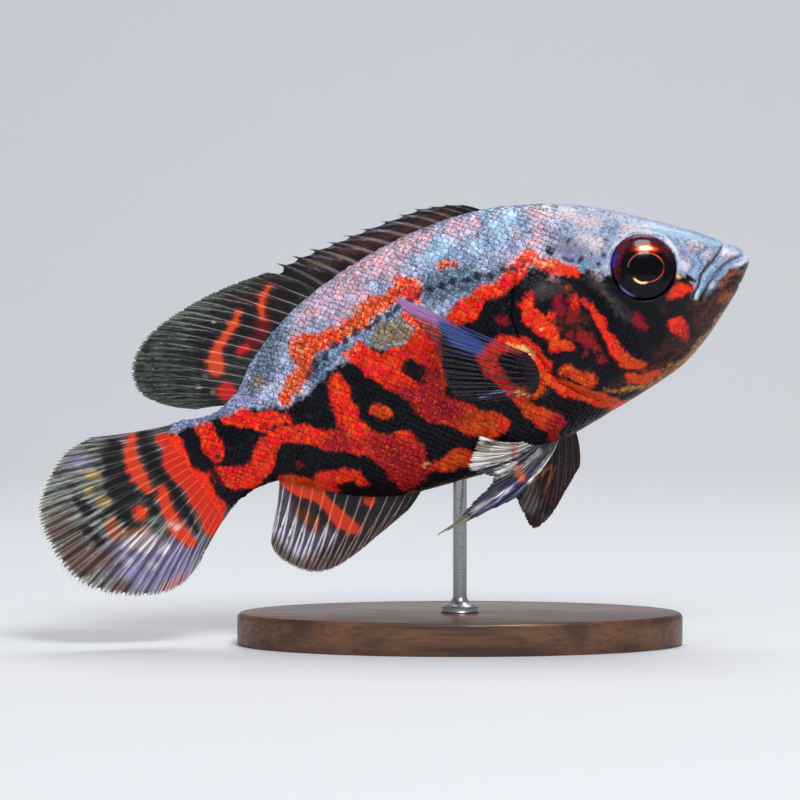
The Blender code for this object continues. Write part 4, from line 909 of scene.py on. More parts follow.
def cheek_scales(s, w):
    """Small scales on the cheek and the gill cover, clear of the eye and the folds."""
    to_gill, gill_side = distance(line_through(GILL_EDGE), s, w)
    ahead = ramp(to_gill * -gill_side, 0.7, 1.6)
    ring = ramp(np.hypot(s - EYE_S, w - EYE_W), EYE_R + 2.2, EYE_R + 3.2)
    fold = ramp(away(CHEEK_EDGE, s, w), 1.3, 2.0)
    on_cheek = ramp(s, 24.0, 27.0) * ramp(w, -13.5, -12.0) * (1 - ramp(w, 10.5, 12.0))
    return ahead * ring * fold * on_cheek * 0.95


def scale_material():
    """The markings, with a tone of its own for each scale, painted shade round its rim in patches, and a
    lighter back.
    """
    material, paint = new_material("scales")
    marks = paint.add("ShaderNodeGroup", node_tree=FLESH_COLOURS)
    spread = paint.step(paint.field("back"), -1.0, 2.0, 0.13, 0.22)
    light = paint.step(paint.field("back"), -1.0, 2.0, 1.0, 1.14)
    tone = paint.math("MULTIPLY_ADD", paint.field("tone"), spread, light)
    # Painted shade: a dark rim on each scale, in patches, for the shadow in the gaps between overlapping
    # scales.
    rim_shade = paint.math("MULTIPLY", paint.step(paint.field("rim"), 0.7, 1.0),
                          paint.step(paint.noise(3.0), 0.4, 0.6, 0.05, 0.32))
    shade = paint.math("MULTIPLY", tone, paint.math("SUBTRACT", 1.0, rim_shade))
    tint = paint.add("ShaderNodeHueSaturation")
    paint.feed(tint.inputs["Hue"], paint.math("MULTIPLY_ADD", paint.field("hue"), 0.004, 0.5))
    paint.feed(tint.inputs["Value"], shade)
    paint.feed(tint.inputs["Color"], marks.outputs["Colour"])
    paint.shader(tint.outputs["Color"], paint.step(marks.outputs["Speckle"], 0.3, 0.8, 0.3, 0.5),
                 paint.bumped(paint.noise(0.25, 2.0), 0.04, 0.5), Specular_IOR_Level=0.14, Coat_Weight=0.06,
                 Coat_Roughness=0.2)
    return material


SCALE_FINISH = scale_material()
LAY_SCALES = lay_scales_tree()
for seed, (coat, flank) in enumerate([("scales_left", 1), ("scales_right", -1)]):
    trunk = build_scales(coat, flank, SCALE_PITCH, trunk_scales, 11 + seed, LAY_SCALES, SCALE_FINISH)
    dress(trunk, SCALE_FINISH, "skin")
    cheek = build_scales("cheek_" + coat, flank, CHEEK_PITCH, cheek_scales, 21 + seed, LAY_SCALES,
                         SCALE_FINISH)
    dress(cheek, SCALE_FINISH, "skin")

# The eyes. Each is a ball in its socket with a dark wine-red iris, a thin gold ring round the
# pupil with a painted gold highlight on its lower rim and a painted orange-white highlight above it,
# and a clear dome over it that stands proud of the cheek.
EYE_PROFILE = [(6.9, -3.4), (7.05, -2.6), (7.05, -1.2), (6.95, -0.55), (6.6, 0.0), (6.0, 0.42), (5.3, 0.66),
               (4.7, 0.82), (4.2, 1.0), (3.5, 1.24), (2.7, 1.44), (1.8, 1.6), (0.9, 1.69), (0.3, 1.72)]
EYE_SIDES = 96
PUPIL_AT = (0.35, -0.2)
PUPIL_WIDE, PUPIL_HIGH = 3.75, 3.05


def build_eye(name, side):
    """The ball as a turned shape, with each point's place round the pupil written on it."""
    seat, look, rear, up = eye_frame(side)
    profile = line_through(EYE_PROFILE, 3)
    turn = np.arange(EYE_SIDES) * 2 * math.pi / EYE_SIDES
    r, h = profile[:, 0][:, None], profile[:, 1][:, None]
    flat = np.stack([r * np.cos(turn), r * np.sin(turn), h + 0 * turn], -1).reshape(-1, 3)
    flat = np.vstack([flat, [(0, 0, EYE_PROFILE[0][1]), (0, 0, EYE_PROFILE[-1][1])]])
    level = seat + flat[:, :1] * rear + flat[:, 1:2] * up + flat[:, 2:] * look
    last, foot = (len(profile) - 1) * EYE_SIDES, len(profile) * EYE_SIDES
    fans = []
    for a in range(EYE_SIDES):
        b = (a + 1) % EYE_SIDES
        fans += [(foot, b, a), (foot + 1, last + a, last + b)]
    obj = mesh_of(name, level, grid_faces(len(profile), EYE_SIDES, True)[:, ::-1], fans)
    back, high = flat[:, 0], flat[:, 1]
    write_field(obj.data, "forward", -back * math.cos(PITCH) - high * math.sin(PITCH))
    write_field(obj.data, "upward", -back * math.sin(PITCH) + high * math.cos(PITCH))
    return obj


def span(paint, x, y):
    """The length of the vector (x, y)."""
    return paint.math("SQRT", paint.math("ADD", paint.math("MULTIPLY", x, x), paint.math("MULTIPLY", y, y)))


def eye_material():
    """Wine-red and black iris round an oval pupil, with a painted gold highlight on its lower rim, a painted
    orange-white highlight above it, and painted blue glints at the iris's edge.
    """
    material, paint = new_material("eye_glaze")
    x, y = paint.field("forward"), paint.field("upward")
    r = span(paint, x, y)
    px, py = paint.math("SUBTRACT", x, PUPIL_AT[0]), paint.math("SUBTRACT", y, PUPIL_AT[1])
    oval = span(paint, px, paint.math("MULTIPLY", py, PUPIL_WIDE / PUPIL_HIGH))
    turn = paint.math("ARCTAN2", py, px)
    grain = paint.noise(0.7, 3.0)

    def near(value, middle, half, soft):
        away_from = paint.math("ABSOLUTE", paint.math("SUBTRACT", value, middle))
        return paint.step(away_from, half + soft, half)

    def both(a, b):
        return paint.math("MULTIPLY", a, b)

    colour = paint.mix(paint.step(grain, 0.45, 0.7, 0.0, 0.5), rgb(7, 4, 11), rgb(26, 8, 20))
    wine = both(near(r, 6.15, 0.45, 1.0), paint.step(paint.math("MULTIPLY_ADD", x, -0.35, y), -1.5, 3.0))
    colour = paint.mix(both(wine, paint.step(grain, 0.3, 0.66, 0.2, 0.95)), colour, rgb(98, 30, 46))
    # Painted reflections: a blue glint at the rear edge of the iris and a lavender one low down.
    rear_blue_glint = both(near(r, 6.5, 0.1, 0.5), near(turn, 2.9, 0.05, 0.35))
    colour = paint.mix(rear_blue_glint, colour, rgb(50, 44, 150))
    low_blue_glint = both(near(r, 6.6, 0.05, 0.3), near(turn, -2.25, 0.06, 0.35))
    colour = paint.mix(low_blue_glint, colour, rgb(128, 122, 196))
    low_end = near(turn, -1.95, 0.08, 0.55)
    low = paint.math("SUBTRACT", oval, paint.math("MULTIPLY", low_end, 0.4))
    front = both(near(oval, PUPIL_WIDE + 0.1, 0.04, 0.24), near(turn, -0.75, 0.3, 0.7))
    over = both(near(oval, PUPIL_WIDE + 0.14, 0.06, 0.26), near(turn, 1.35, 0.55, 0.8))
    rear = both(near(oval, PUPIL_WIDE + 0.1, 0.02, 0.18), near(turn, 2.9, 0.4, 0.6))
    colour = paint.mix(front, colour, rgb(196, 66, 40))
    colour = paint.mix(over, colour, rgb(220, 92, 42))
    colour = paint.mix(rear, colour, rgb(140, 84, 84))
    # A painted gold highlight on the lower rim of the pupil, with a pale yellow core.
    gold_highlight = both(near(low, PUPIL_WIDE, 0.26, 0.14), paint.step(low_end, 0.0, 0.35))
    colour = paint.mix(gold_highlight, colour, rgb(248, 172, 74))
    highlight_core = both(near(low, PUPIL_WIDE, 0.1, 0.16), paint.step(low_end, 0.25, 0.7))
    colour = paint.mix(highlight_core, colour, rgb(255, 244, 190))
    # A painted orange-white highlight above the pupil, fringed with orange and dark red.
    highlight_x = paint.math("MULTIPLY", paint.math("SUBTRACT", px, 0.1), 0.30)
    bow = paint.math("MULTIPLY_ADD", paint.math("MULTIPLY", px, px), -0.035, 4.15)
    highlight_y = paint.math("SUBTRACT", py, bow)
    highlight_patch = paint.math("SUBTRACT", span(paint, highlight_x, highlight_y), 0.25)
    highlight_patch = paint.math("MULTIPLY_ADD", grain, 0.5, highlight_patch)
    colour = paint.mix(paint.step(highlight_patch, 1.25, 0.7), colour, rgb(140, 18, 12))
    colour = paint.mix(paint.step(highlight_patch, 0.85, 0.6), colour, rgb(240, 84, 18))
    colour = paint.mix(paint.step(highlight_patch, 0.62, 0.35), colour, rgb(255, 232, 178))
    colour = paint.mix(paint.step(oval, PUPIL_WIDE + 0.02, PUPIL_WIDE - 0.18), colour, rgb(2, 4, 8))
    paint.shader(colour, 0.2, None, Specular_IOR_Level=0.08, Coat_Weight=0.22, Coat_Roughness=0.05)
    return material


EYE_GLAZE = eye_material()
for word, side in (("left", 1), ("right", -1)):
    dress(build_eye(f"eyeball_{word}", side), EYE_GLAZE, "eye", f"eye_{word}")

# The fins. Each is a thin web of skin stretched over bony rays that fork towards the rim, end in free
# tips and are rooted under the skin. A fin's key rays run from root over knee to tip, and the rest
# follow between them.
ROOT_SUNK = 0.9
FORK_ONE, FORK_TWO = (0.22, 0.25, 0.8), (0.10, 0.6, 1.0)


def fin_web(name, rays, count, rows, web=0.3, ray_height=0.32, tip_reach=0.03, wave=0.0, forks=True,
            per_ray=20):
    """One fin as a closed sheet: count rays with rows of points along them and per_ray columns from ray
    to ray. tip_reach is how far ray tips stand beyond the web, as a share of the ray's length."""
    keys = np.array(rays, float)
    column = np.arange((count - 1) * per_ray + 1)
    x = (column + per_ray / 2) % per_ray / per_ray - 0.5
    along = np.linspace(0, 1, rows + 1)[None, :]
    one = FORK_ONE[0] * ramp(along, *FORK_ONE[1:]) if forks else 0 * along
    two = FORK_TWO[0] * ramp(along, *FORK_TWO[1:]) if forks else 0 * along
    width = 0.09 if forks else 0.16 - 0.07 * along
    crest = np.zeros((len(column), rows + 1))
    for first in (-1, 1):
        for second in (-1, 1):
            crest = np.maximum(crest, bump(x[:, None] - first * one - second * two, width))
    free = 1 - tip_reach * (1 - np.maximum(crest[:, -1:], 0.25 * bump(x[:, None], 0.4)))
    f = (along * free)[..., None]
    key = spline(keys.reshape(len(keys), 9), column / column[-1] * (len(keys) - 1)).reshape(-1, 3, 3)
    centre = (1 - f) ** 2 * key[:, None, 0] + 2 * f * (1 - f) * key[:, None, 1] + f**2 * key[:, None, 2]
    centre[..., 2] += wave * np.sin(column / column[-1] * 3 * math.pi)[:, None] * along**2
    normal = unit(np.cross(np.gradient(centre, axis=1), np.gradient(centre, axis=0)))
    segments = 1 - 0.3 * bump((along * rows / 3 + 0.5) % 1 - 0.5, 0.12) * ramp(along, 0.25, 0.4)
    half = web / 2 * (1 - 0.5 * along) + ray_height / 2 * crest * segments * (1 - 0.6 * along**1.5)
    half = half * (1 - 0.7 * ramp(along, 0.985, 1.0))
    level = np.concatenate([(centre + normal * half[..., None]).reshape(-1, 3),
                            (centre - normal * half[..., None]).reshape(-1, 3)])
    wide, tall = len(column), rows + 1
    quads = grid_faces(wide, tall, False)
    edge = [i * tall for i in range(wide)] + [(wide - 1) * tall + j for j in range(1, tall)]
    edge += [i * tall + tall - 1 for i in range(wide - 2, -1, -1)] + list(range(tall - 2, 0, -1))
    other = wide * tall
    strip = [(p, q, q + other, p + other) for p, q in zip(edge, edge[1:] + edge[:1])]
    obj = mesh_of(name, level, np.vstack([quads, quads[:, ::-1] + other]), strip)
    write_field(obj.data, "ray", np.tile(crest.ravel(), 2))
    write_field(obj.data, "across", np.tile(np.repeat(column / per_ray, tall), 2))
    write_field(obj.data, "along", np.tile((along + 0 * crest).ravel(), 2))
    return obj, level


def median_rays(rows, edge, bow):
    """Key rays in the middle plane, rooted in one edge of the body, BACK or BELLY. Each row is the root's
    s and the tip's s and w, and bow bends the ray."""
    rays = []
    sunk = ROOT_SUNK if edge == BACK else -ROOT_SUNK
    for root_s, tip_s, tip_w in rows:
        start, end = np.array([root_s, edge_w(root_s, edge) - sunk, 0.0]), np.array([tip_s, tip_w, 0.0])
        run = end - start
        rays.append((start, (start + end) / 2 + np.array([run[1], -run[0], 0.0]) * bow, end))
    return rays


def build_ray_noise():
    """A node group: noise in so many lumps from ray to ray (Fine) and from root to rim (Long)."""
    group = bpy.data.node_groups.new("ray_noise", "ShaderNodeTree")
    for name in ("Fine", "Long"):
        group.interface.new_socket(name, in_out="INPUT", socket_type="NodeSocketFloat")
    group.interface.new_socket("Noise", in_out="OUTPUT", socket_type="NodeSocketFloat")
    paint = Paint(group)
    given, out = paint.add("NodeGroupInput"), paint.add("NodeGroupOutput")
    spot = paint.add("ShaderNodeCombineXYZ")
    paint.feed(spot.inputs["X"], paint.math("MULTIPLY", paint.field("across"), given.outputs["Fine"]))
    paint.feed(spot.inputs["Y"], paint.math("MULTIPLY", paint.field("along"), given.outputs["Long"]))
    node = paint.add("ShaderNodeTexNoise")
    paint.feed(node.inputs["Vector"], spot.outputs["Vector"])
    node.inputs["Scale"].default_value = 1.0
    paint.feed(out.inputs["Noise"], node.outputs["Fac"])
    return group


def ray_noise(paint, fine, long):
    node = paint.add("ShaderNodeGroup", node_tree=RAY_NOISE)
    node.inputs["Fine"].default_value, node.inputs["Long"].default_value = fine, long
    return node.outputs["Noise"]


def build_rays_and_web():
    """A node group: rays that glow, carry short painted glints and end in pale tips, and a darker, clearer
    web between.
    """
    group = bpy.data.node_groups.new("rays_and_web", "ShaderNodeTree")
    for name in ("Colour", "Tip"):
        group.interface.new_socket(name, in_out="INPUT", socket_type="NodeSocketColor")
    for name in ("Web", "Glow", "Painted glints", "Tip share", "See through"):
        group.interface.new_socket(name, in_out="INPUT", socket_type="NodeSocketFloat")
    group.interface.new_socket("Finished", in_out="OUTPUT", socket_type="NodeSocketColor")
    group.interface.new_socket("Opacity", in_out="OUTPUT", socket_type="NodeSocketFloat")
    paint = Paint(group)
    given, out = paint.add("NodeGroupInput").outputs, paint.add("NodeGroupOutput")
    ray, along = paint.field("ray"), paint.field("along")
    streak, dash = ray_noise(paint, 11.0, 4.0), ray_noise(paint, 6.0, 24.0)
    warm = paint.step(paint.math("MAXIMUM", paint.field("fin_red"), paint.field("fin_orange")), 0.0, 0.6)
    shade = paint.step(ray, 0.05, 0.6, given["Web"], 1.05)
    shade = paint.math("MULTIPLY", shade, paint.step(streak, 0.35, 0.62, 1.25, 0.5))
    eased = paint.math("MULTIPLY", paint.math("SUBTRACT", 1.0, shade), paint.math("MULTIPLY", warm, 0.62))
    tint = paint.add("ShaderNodeHueSaturation")
    paint.feed(tint.inputs["Value"], paint.math("ADD", shade, eased))
    paint.feed(tint.inputs["Color"], given["Colour"])
    gleam = paint.mix(warm, rgb(222, 212, 204), rgb(255, 170, 96))
    lit = paint.step(ray, 0.8, 1.0, 0.0, given["Glow"])
    lit = paint.math("MULTIPLY", lit, paint.step(along, 1.0, 0.0, 0.4, 1.0))
    # Short pale dashes on the rays are painted glints.
    glint_dashes = paint.step(dash, 0.62, 0.72, 0.0, given["Painted glints"])
    glint_dashes = paint.math("MULTIPLY", paint.step(ray, 0.5, 0.9), glint_dashes)
    dark = paint.math("MAXIMUM", paint.field("fin_black"), paint.field("fin_dark"))
    lit = paint.math("MULTIPLY", paint.math("ADD", lit, glint_dashes), paint.step(dark, 0.0, 0.9, 1.0, 0.25))
    colour = paint.mix(lit, tint.outputs["Color"], gleam)
    end = paint.math("MULTIPLY", paint.step(ray, 0.5, 0.9), paint.step(along, 0.955, 0.99))
    colour = paint.mix(paint.math("MULTIPLY", end, given["Tip share"]), colour, given["Tip"])
    clear = paint.math("MULTIPLY", paint.step(ray, 0.75, 0.2, 0.35, 1.0), paint.step(along, 0.05, 0.4))
    shown = paint.math("MAXIMUM", paint.field("fin_violet"), paint.field("fin_blue"))
    clear = paint.math("MULTIPLY", clear, paint.step(shown, -0.2, 0.8, 1.0, 0.35))
    clear = paint.math("MULTIPLY", clear, given["See through"])
    paint.feed(out.inputs["Finished"], colour)
    paint.feed(out.inputs["Opacity"], paint.math("SUBTRACT", 1.0, clear))
    return group


RAY_NOISE = build_ray_noise()
RAYS_AND_WEB = build_rays_and_web()


def fin_material(name, ground, layers, web=0.3, glow=0.2, tip=None, see_through=0.0, mottle=0.5, wet=0.2,
                 glint_share=0.25):
    """Marks with edges drawn out along the rays, in the colours of one fin, under the shared rays and web."""
    material, paint = new_material(name)
    ragged = ray_noise(paint, 4.0, 9.0)
    ground = paint.mix(paint.step(ragged, 0.42, 0.62, 0.0, mottle), ground, rgb(24, 20, 28))
    colour = lay_strokes(paint, ground, ragged, layers)
    rays = paint.add("ShaderNodeGroup", node_tree=RAYS_AND_WEB)
    for socket, value in (("Colour", colour), ("Web", web), ("Glow", glow), ("Painted glints", glint_share),
                          ("Tip", tip or rgb(0, 0, 0)), ("Tip share", 1.0 if tip else 0.0),
                          ("See through", see_through)):
        paint.feed(rays.inputs[socket], value)
    paint.shader(rays.outputs["Finished"], 0.42, paint.bumped(paint.noise(0.4, 2.0), 0.04, 0.4),
                 Specular_IOR_Level=0.22, Coat_Weight=wet, Coat_Roughness=0.2, Alpha=rays.outputs["Opacity"])
    return material


def add_fin(web, material, strokes, node):
    """Writes the fin's marks on its web and sets it in place."""
    obj, level = web
    for field, dots in strokes.items():
        write_field(obj.data, field, depth_in(dots, level[:, 0], level[:, 1]))
    return dress(obj, material, "fin", node)


# The spiny front of the back fin. Stiff bony spines, folded back, rise from the ridge of the back, and
# dark wine-brown web hangs slack between them. Their free ends are pale mauve.
DORSAL_SPINES = [(48.8, 54.2, 32.2), (50.7, 57.5, 33.4), (53.0, 60.8, 34.2), (55.8, 64.0, 34.8),
                 (59.0, 67.4, 34.7), (62.5, 71.4, 34.6), (66.5, 76.0, 34.5), (70.5, 79.8, 34.4),
                 (74.6, 83.6, 34.3), (78.8, 87.8, 34.3), (83.0, 91.8, 34.2), (87.0, 95.4, 33.9)]
SPINY_MARKS = {
    "fin_pale": [[(root - 1, edge_w(root, BACK) + 2.4, 0.0), (tip - 2.5, top - 0.35, 0.25), (tip, top, 0.35)]
                 for root, tip, top in DORSAL_SPINES],
    "fin_brown": [[(56.0, 31.0, 0.8), (70.0, 31.0, 1.2), (88.0, 30.5, 1.4)]],
}
JOINED_SPINES = DORSAL_SPINES + [(88.8, 97.3, 32.3)]
spiny = fin_web("back_fin_spines", median_rays(JOINED_SPINES, BACK, -0.08), count=13, rows=30,
                ray_height=0.6, tip_reach=0.24, forks=False, per_ray=24)
add_fin(spiny, fin_material("spiny_web", rgb(44, 24, 30), [
    ("fin_brown", rgb(104, 66, 56), 0.8, 1.8, 0.8), ("fin_pale", rgb(164, 156, 192), 0.35, 0.5, 0.9)],
    web=0.45, glow=0.12, tip=rgb(206, 202, 222), mottle=0.8), SPINY_MARKS, "dorsal_fin_spines")

# The soft rear of the back fin. Forked rays rooted in the ridge of the back carry a web that is near
# black in the middle, with two orange bars and a grey-green margin.
DORSAL_SOFT = [(88.4, 97.7, 32.6), (92.4, 105.3, 32.7), (96.4, 112.3, 32.2), (100.2, 118.9, 31.0),
               (103.6, 124.3, 29.5), (106.6, 128.4, 27.3), (109.0, 131.2, 24.5), (111.0, 132.5, 21.0),
               (112.6, 131.6, 16.8), (113.9, 127.2, 12.8), (115.0, 122.2, 10.2)]
SOFT_MARKS = {
    "fin_dark": [[(94.0, 28.0, 3.0), (101.0, 24.0, 4.0), (108.0, 21.5, 5.0), (114.0, 24.0, 4.0)],
                 [(117.5, 20.0, 2.6), (121.0, 21.0, 1.2)], [(118.5, 13.5, 1.8), (117.0, 10.0, 1.4)],
                 [(122.0, 17.4, 1.2), (124.0, 15.6, 0.8)], [(105.0, 28.0, 2.4), (110.0, 28.0, 1.6)]],
    "fin_brown": [[(95.0, 31.0, 1.5), (102.0, 29.0, 2.0), (108.0, 29.5, 1.5)], [(98.0, 25.0, 1.6)]],
    "fin_orange": [[(98.5, 29.3, 0.6), (100.4, 28.0, 0.9), (101.6, 25.5, 0.9), (101.9, 24.0, 0.8)],
                   [(106.5, 26.2, 0.7), (108.0, 24.6, 1.0), (110.5, 22.8, 1.0), (113.0, 21.0, 1.2),
                    (114.5, 18.6, 1.9), (114.9, 17.0, 1.9)]],
    "fin_red": [[(114.5, 11.5, 2.1)], [(109.0, 18.6, 0.9), (107.4, 19.0, 1.1)]],
    "fin_deep": [[(101.6, 24.4, 1.4), (102.6, 21.8, 1.7), (104.6, 19.6, 1.3), (107.6, 18.8, 1.4)]],
    "fin_pale": [[(117.6, 16.2, 0.4)], [(119.8, 14.6, 0.3)], [(117.2, 12.4, 0.4)], [(112.0, 26.4, 0.2)],
                 [(108.4, 20.6, 0.1)]],
}
soft = fin_web("back_fin_rays", median_rays(DORSAL_SOFT, BACK, -0.05), count=17, rows=56, tip_reach=0.035,
               wave=0.8)
add_fin(soft, fin_material("soft_web", rgb(74, 90, 80), [
    ("fin_dark", rgb(22, 12, 22), 1.8, 2.4, 0.94), ("fin_brown", rgb(58, 30, 32), 1.0, 2.0, 0.9),
    ("fin_pale", rgb(226, 196, 180), 0.5, 1.2, 0.8), ("fin_deep", rgb(156, 20, 30), 0.8, 1.8, 0.9),
    ("fin_orange", rgb(236, 78, 34), 0.7, 1.9, 1.0), ("fin_red", rgb(216, 24, 26), 0.7, 1.4, 1.0)],
    web=0.35, glow=0.0, tip=rgb(140, 150, 138), see_through=0.04, mottle=0.85, glint_share=0.45),
    SOFT_MARKS, "dorsal_fin_rays")

# The anal fin. Forked rays rooted in the rear of the belly carry a web with a scaly grey foot and
# orange blotches at the root. The rear rays are white and lavender.
ANAL_RAYS = [(81.8, 87.0, -26.0), (84.0, 91.2, -27.6), (86.2, 95.7, -29.2), (88.8, 100.1, -30.8),
             (92.2, 104.7, -32.0), (95.6, 108.0, -32.2), (98.8, 110.8, -31.5), (101.6, 113.0, -30.1),
             (104.2, 114.8, -28.3), (106.6, 116.4, -26.0), (108.8, 117.0, -22.9), (110.2, 115.2, -19.3)]
ANAL_MARKS = {
    "fin_white": [[(112.0, -13.0, 2.4), (113.0, -19.0, 3.2), (110.5, -25.0, 2.6), (105.0, -25.0, 1.6)]],
    "fin_dark": [[(111.6, -14.8, 0.1)], [(112.6, -17.2, 0.3)], [(113.4, -19.8, 0.2)], [(111.4, -20.4, 0.3)],
                 [(112.8, -22.6, 0.3)], [(110.0, -22.8, 0.2)], [(104.8, -19.6, 0.6), (103.6, -22.0, 0.5)],
                 [(84.0, -24.0, 1.4), (89.0, -27.4, 1.2), (95.0, -30.2, 0.8)]],
    "fin_grey": [[(100.0, -18.6, 2.2), (96.5, -20.6, 3.2), (91.5, -22.6, 2.4)]],
    "fin_margin": [[(117.0, -21.0, 0.8), (115.4, -25.6, 0.9), (112.4, -29.4, 0.8)]],
    "fin_orange": [[(109.6, -11.0, 1.2), (107.0, -13.6, 1.9), (104.0, -15.8, 1.8), (102.5, -19.0, 1.5),
                    (101.0, -22.8, 2.0), (99.2, -25.4, 1.6)], [(93.8, -21.0, 1.6)]],
    "fin_rust": [[(109.0, -17.8, 1.0), (107.4, -20.4, 1.4), (106.4, -23.0, 0.9)]],
}
anal = fin_web("anal_web", median_rays(ANAL_RAYS, BELLY, 0.06), count=15, rows=46, tip_reach=0.04, wave=0.6)
add_fin(anal, fin_material("anal_web", rgb(118, 88, 90), [
    ("fin_white", rgb(224, 216, 240), 1.6, 1.4, 0.95), ("fin_margin", rgb(92, 88, 66), 0.8, 1.2, 0.8),
    ("fin_grey", rgb(74, 74, 78), 0.8, 1.6, 0.9),
    ("fin_dark", rgb(12, 8, 18), 0.4, 1.2, 0.95), ("fin_rust", rgb(226, 120, 84), 0.8, 1.8, 0.9),
    ("fin_orange", rgb(238, 66, 28), 0.7, 1.8, 1.0)],
    web=0.12, glow=0.5, tip=rgb(240, 234, 240), see_through=0.04, mottle=0.6, glint_share=0.45),
    ANAL_MARKS, "anal_fin")

# The tail fin. Its rays fan out from under the fleshy sheath of the tail. The web is red at the root,
# then barred black and orange, blotched in the middle, and grey-olive above to lavender below.
CAUDAL_TIPS = [(145.6, 12.5), (151.0, 11.4), (154.8, 9.1), (158.6, 5.4), (161.0, 1.9), (161.8, -1.8),
               (161.6, -5.6), (160.8, -10.2), (158.7, -15.4), (154.8, -19.4), (149.8, -22.3),
               (145.2, -24.1), (141.4, -24.8), (137.6, -24.3), (133.9, -22.2), (130.4, -18.7)]
CAUDAL_MARKS = {
    "fin_lavender": [[(148.0, -14.0, 4.0), (143.0, -17.5, 5.5), (138.0, -19.0, 5.0), (133.0, -17.0, 2.5)],
                     [(132.0, 10.2, 1.0), (142.0, 11.8, 0.8)], [(149.0, 8.0, 1.5)]],
    "fin_mauve": [[(151.0, -13.0, 3.0), (156.0, -10.0, 3.6), (158.0, -2.0, 2.4)], [(150.0, -20.0, 2.0)]],
    "fin_salmon": [[(141.0, -24.0, 1.4), (137.0, -23.0, 1.0)]],
    "fin_red": [TAIL_ROOT],
    "fin_orange": [[(136.6, 9.6, 0.9), (138.0, 7.0, 1.4), (138.5, 4.5, 1.6), (138.2, 1.0, 1.7),
                    (137.6, -1.8, 1.2)],
                   [(134.6, -3.6, 1.2), (135.0, -6.5, 1.4), (135.0, -9.0, 1.4), (134.6, -12.0, 1.8),
                    (133.6, -14.2, 1.7), (132.6, -16.4, 1.1)], [(140.6, -5.5, 1.1), (140.6, -7.3, 1.1)]],
    "fin_rust": [[(147.2, -7.0, 1.7), (147.5, -9.0, 1.3), (144.0, -9.6, 0.8)], [(141.2, -6.6, 1.5)],
                 [(145.5, -10.0, 0.8), (141.0, -10.6, 0.8)]],
    "fin_black": [[(134.2, 9.6, 0.8), (134.6, 8.0, 1.1), (134.4, 5.0, 1.4), (134.6, 2.0, 1.4),
                   (133.9, -0.4, 1.3), (132.3, -3.0, 1.1), (132.0, -7.0, 1.1), (131.2, -11.0, 1.0),
                   (130.8, -14.4, 0.8)],
                  [(140.6, 9.4, 1.0), (141.0, 8.2, 1.6), (142.8, 6.6, 1.5)],
                  [(143.4, 4.2, 1.7), (141.2, 4.2, 1.2)],
                  [(142.0, 1.6, 1.8), (145.0, 1.2, 1.2), (143.0, -1.0, 2.0), (140.6, -1.4, 1.0)],
                  [(137.6, -3.4, 0.9), (142.0, -3.2, 0.9), (147.5, -3.6, 0.6)],
                  [(144.2, -5.0, 1.4), (143.6, -7.4, 1.3)], [(137.8, -5.6, 1.1), (137.8, -7.6, 0.8)],
                  [(151.0, -1.8, 1.6), (152.4, 1.0, 0.9)], [(152.5, -5.8, 1.5)], [(151.0, -8.8, 1.4)],
                  [(148.4, -4.8, 0.8)]],
    "fin_yellow": [[(147.6, 4.4, 1.1), (146.4, 3.8, 0.8)], [(149.2, 1.4, 0.8)],
                   [(147.8, -1.2, 0.8), (146.6, -1.8, 0.9)], [(149.4, 6.6, 0.4)]],
    "fin_glint": [[(145.0, -11.4, 1.4), (141.6, -12.8, 2.3)], [(136.0, -10.4, 0.2), (134.6, -11.8, 0.6)],
                  [(138.6, -15.6, 1.2)], [(146.4, -15.0, 0.8)], [(142.0, -18.0, 0.7)]],
    "fin_dark": [[(134.4, 9.0, 2.2), (134.2, 0.0, 2.8), (132.4, -9.0, 2.4)],
                 [(141.6, 8.4, 2.8), (142.6, 1.0, 3.8), (142.4, -6.0, 3.0)], [(137.6, -7.0, 1.6)]],
}


def caudal_rays():
    """Rays that fan out from the upright root line inside the tail sheath."""
    inset, knee_out, straight = 0.6, 0.45, 0.65
    top, foot = RIBS[-2][:2], RIBS[-2][2:4]
    down = unit(foot - top)
    back = np.array([-down[1], down[0]])
    start, end = top + down * inset - back, foot - down * inset - back
    rays = []
    for k, tip in enumerate(CAUDAL_TIPS):
        root = start + (end - start) * k / (len(CAUDAL_TIPS) - 1)
        knee = root + back * np.dot(np.array(tip) - root, back) * knee_out
        knee = knee * (1 - straight) + (root + np.array(tip)) / 2 * straight
        rays.append([(*root, 0.0), (*knee, 0.0), (*tip, 0.0)])
    return rays


tail = fin_web("tail_web", caudal_rays(), count=17, rows=72, web=0.36, ray_height=0.34, tip_reach=0.035,
               wave=1.6)
add_fin(tail, fin_material("tail_web", rgb(140, 146, 138), [
    ("fin_lavender", rgb(160, 150, 200), 2.4, 2.6, 0.9), ("fin_mauve", rgb(98, 72, 62), 2.0, 2.4, 0.9),
    ("fin_salmon", rgb(206, 122, 116), 1.2, 1.6, 0.8),
    ("fin_dark", rgb(58, 38, 50), 1.2, 2.2, 0.9), ("fin_yellow", rgb(220, 186, 112), 0.9, 1.8, 0.9),
    ("fin_rust", rgb(220, 122, 80), 0.8, 1.8, 0.9), ("fin_black", rgb(14, 6, 16), 0.6, 1.8, 1.0),
    ("fin_orange", rgb(238, 66, 28), 0.6, 1.7, 1.0), ("fin_red", rgb(236, 44, 18), 0.6, 1.5, 1.0),
    ("fin_glint", rgb(248, 232, 236), 0.9, 2.0, 0.9)],
    web=0.36, glow=0.5, tip=rgb(236, 234, 226), see_through=0.03, mottle=0.8, glint_share=0.45),
    CAUDAL_MARKS, "caudal_fin")

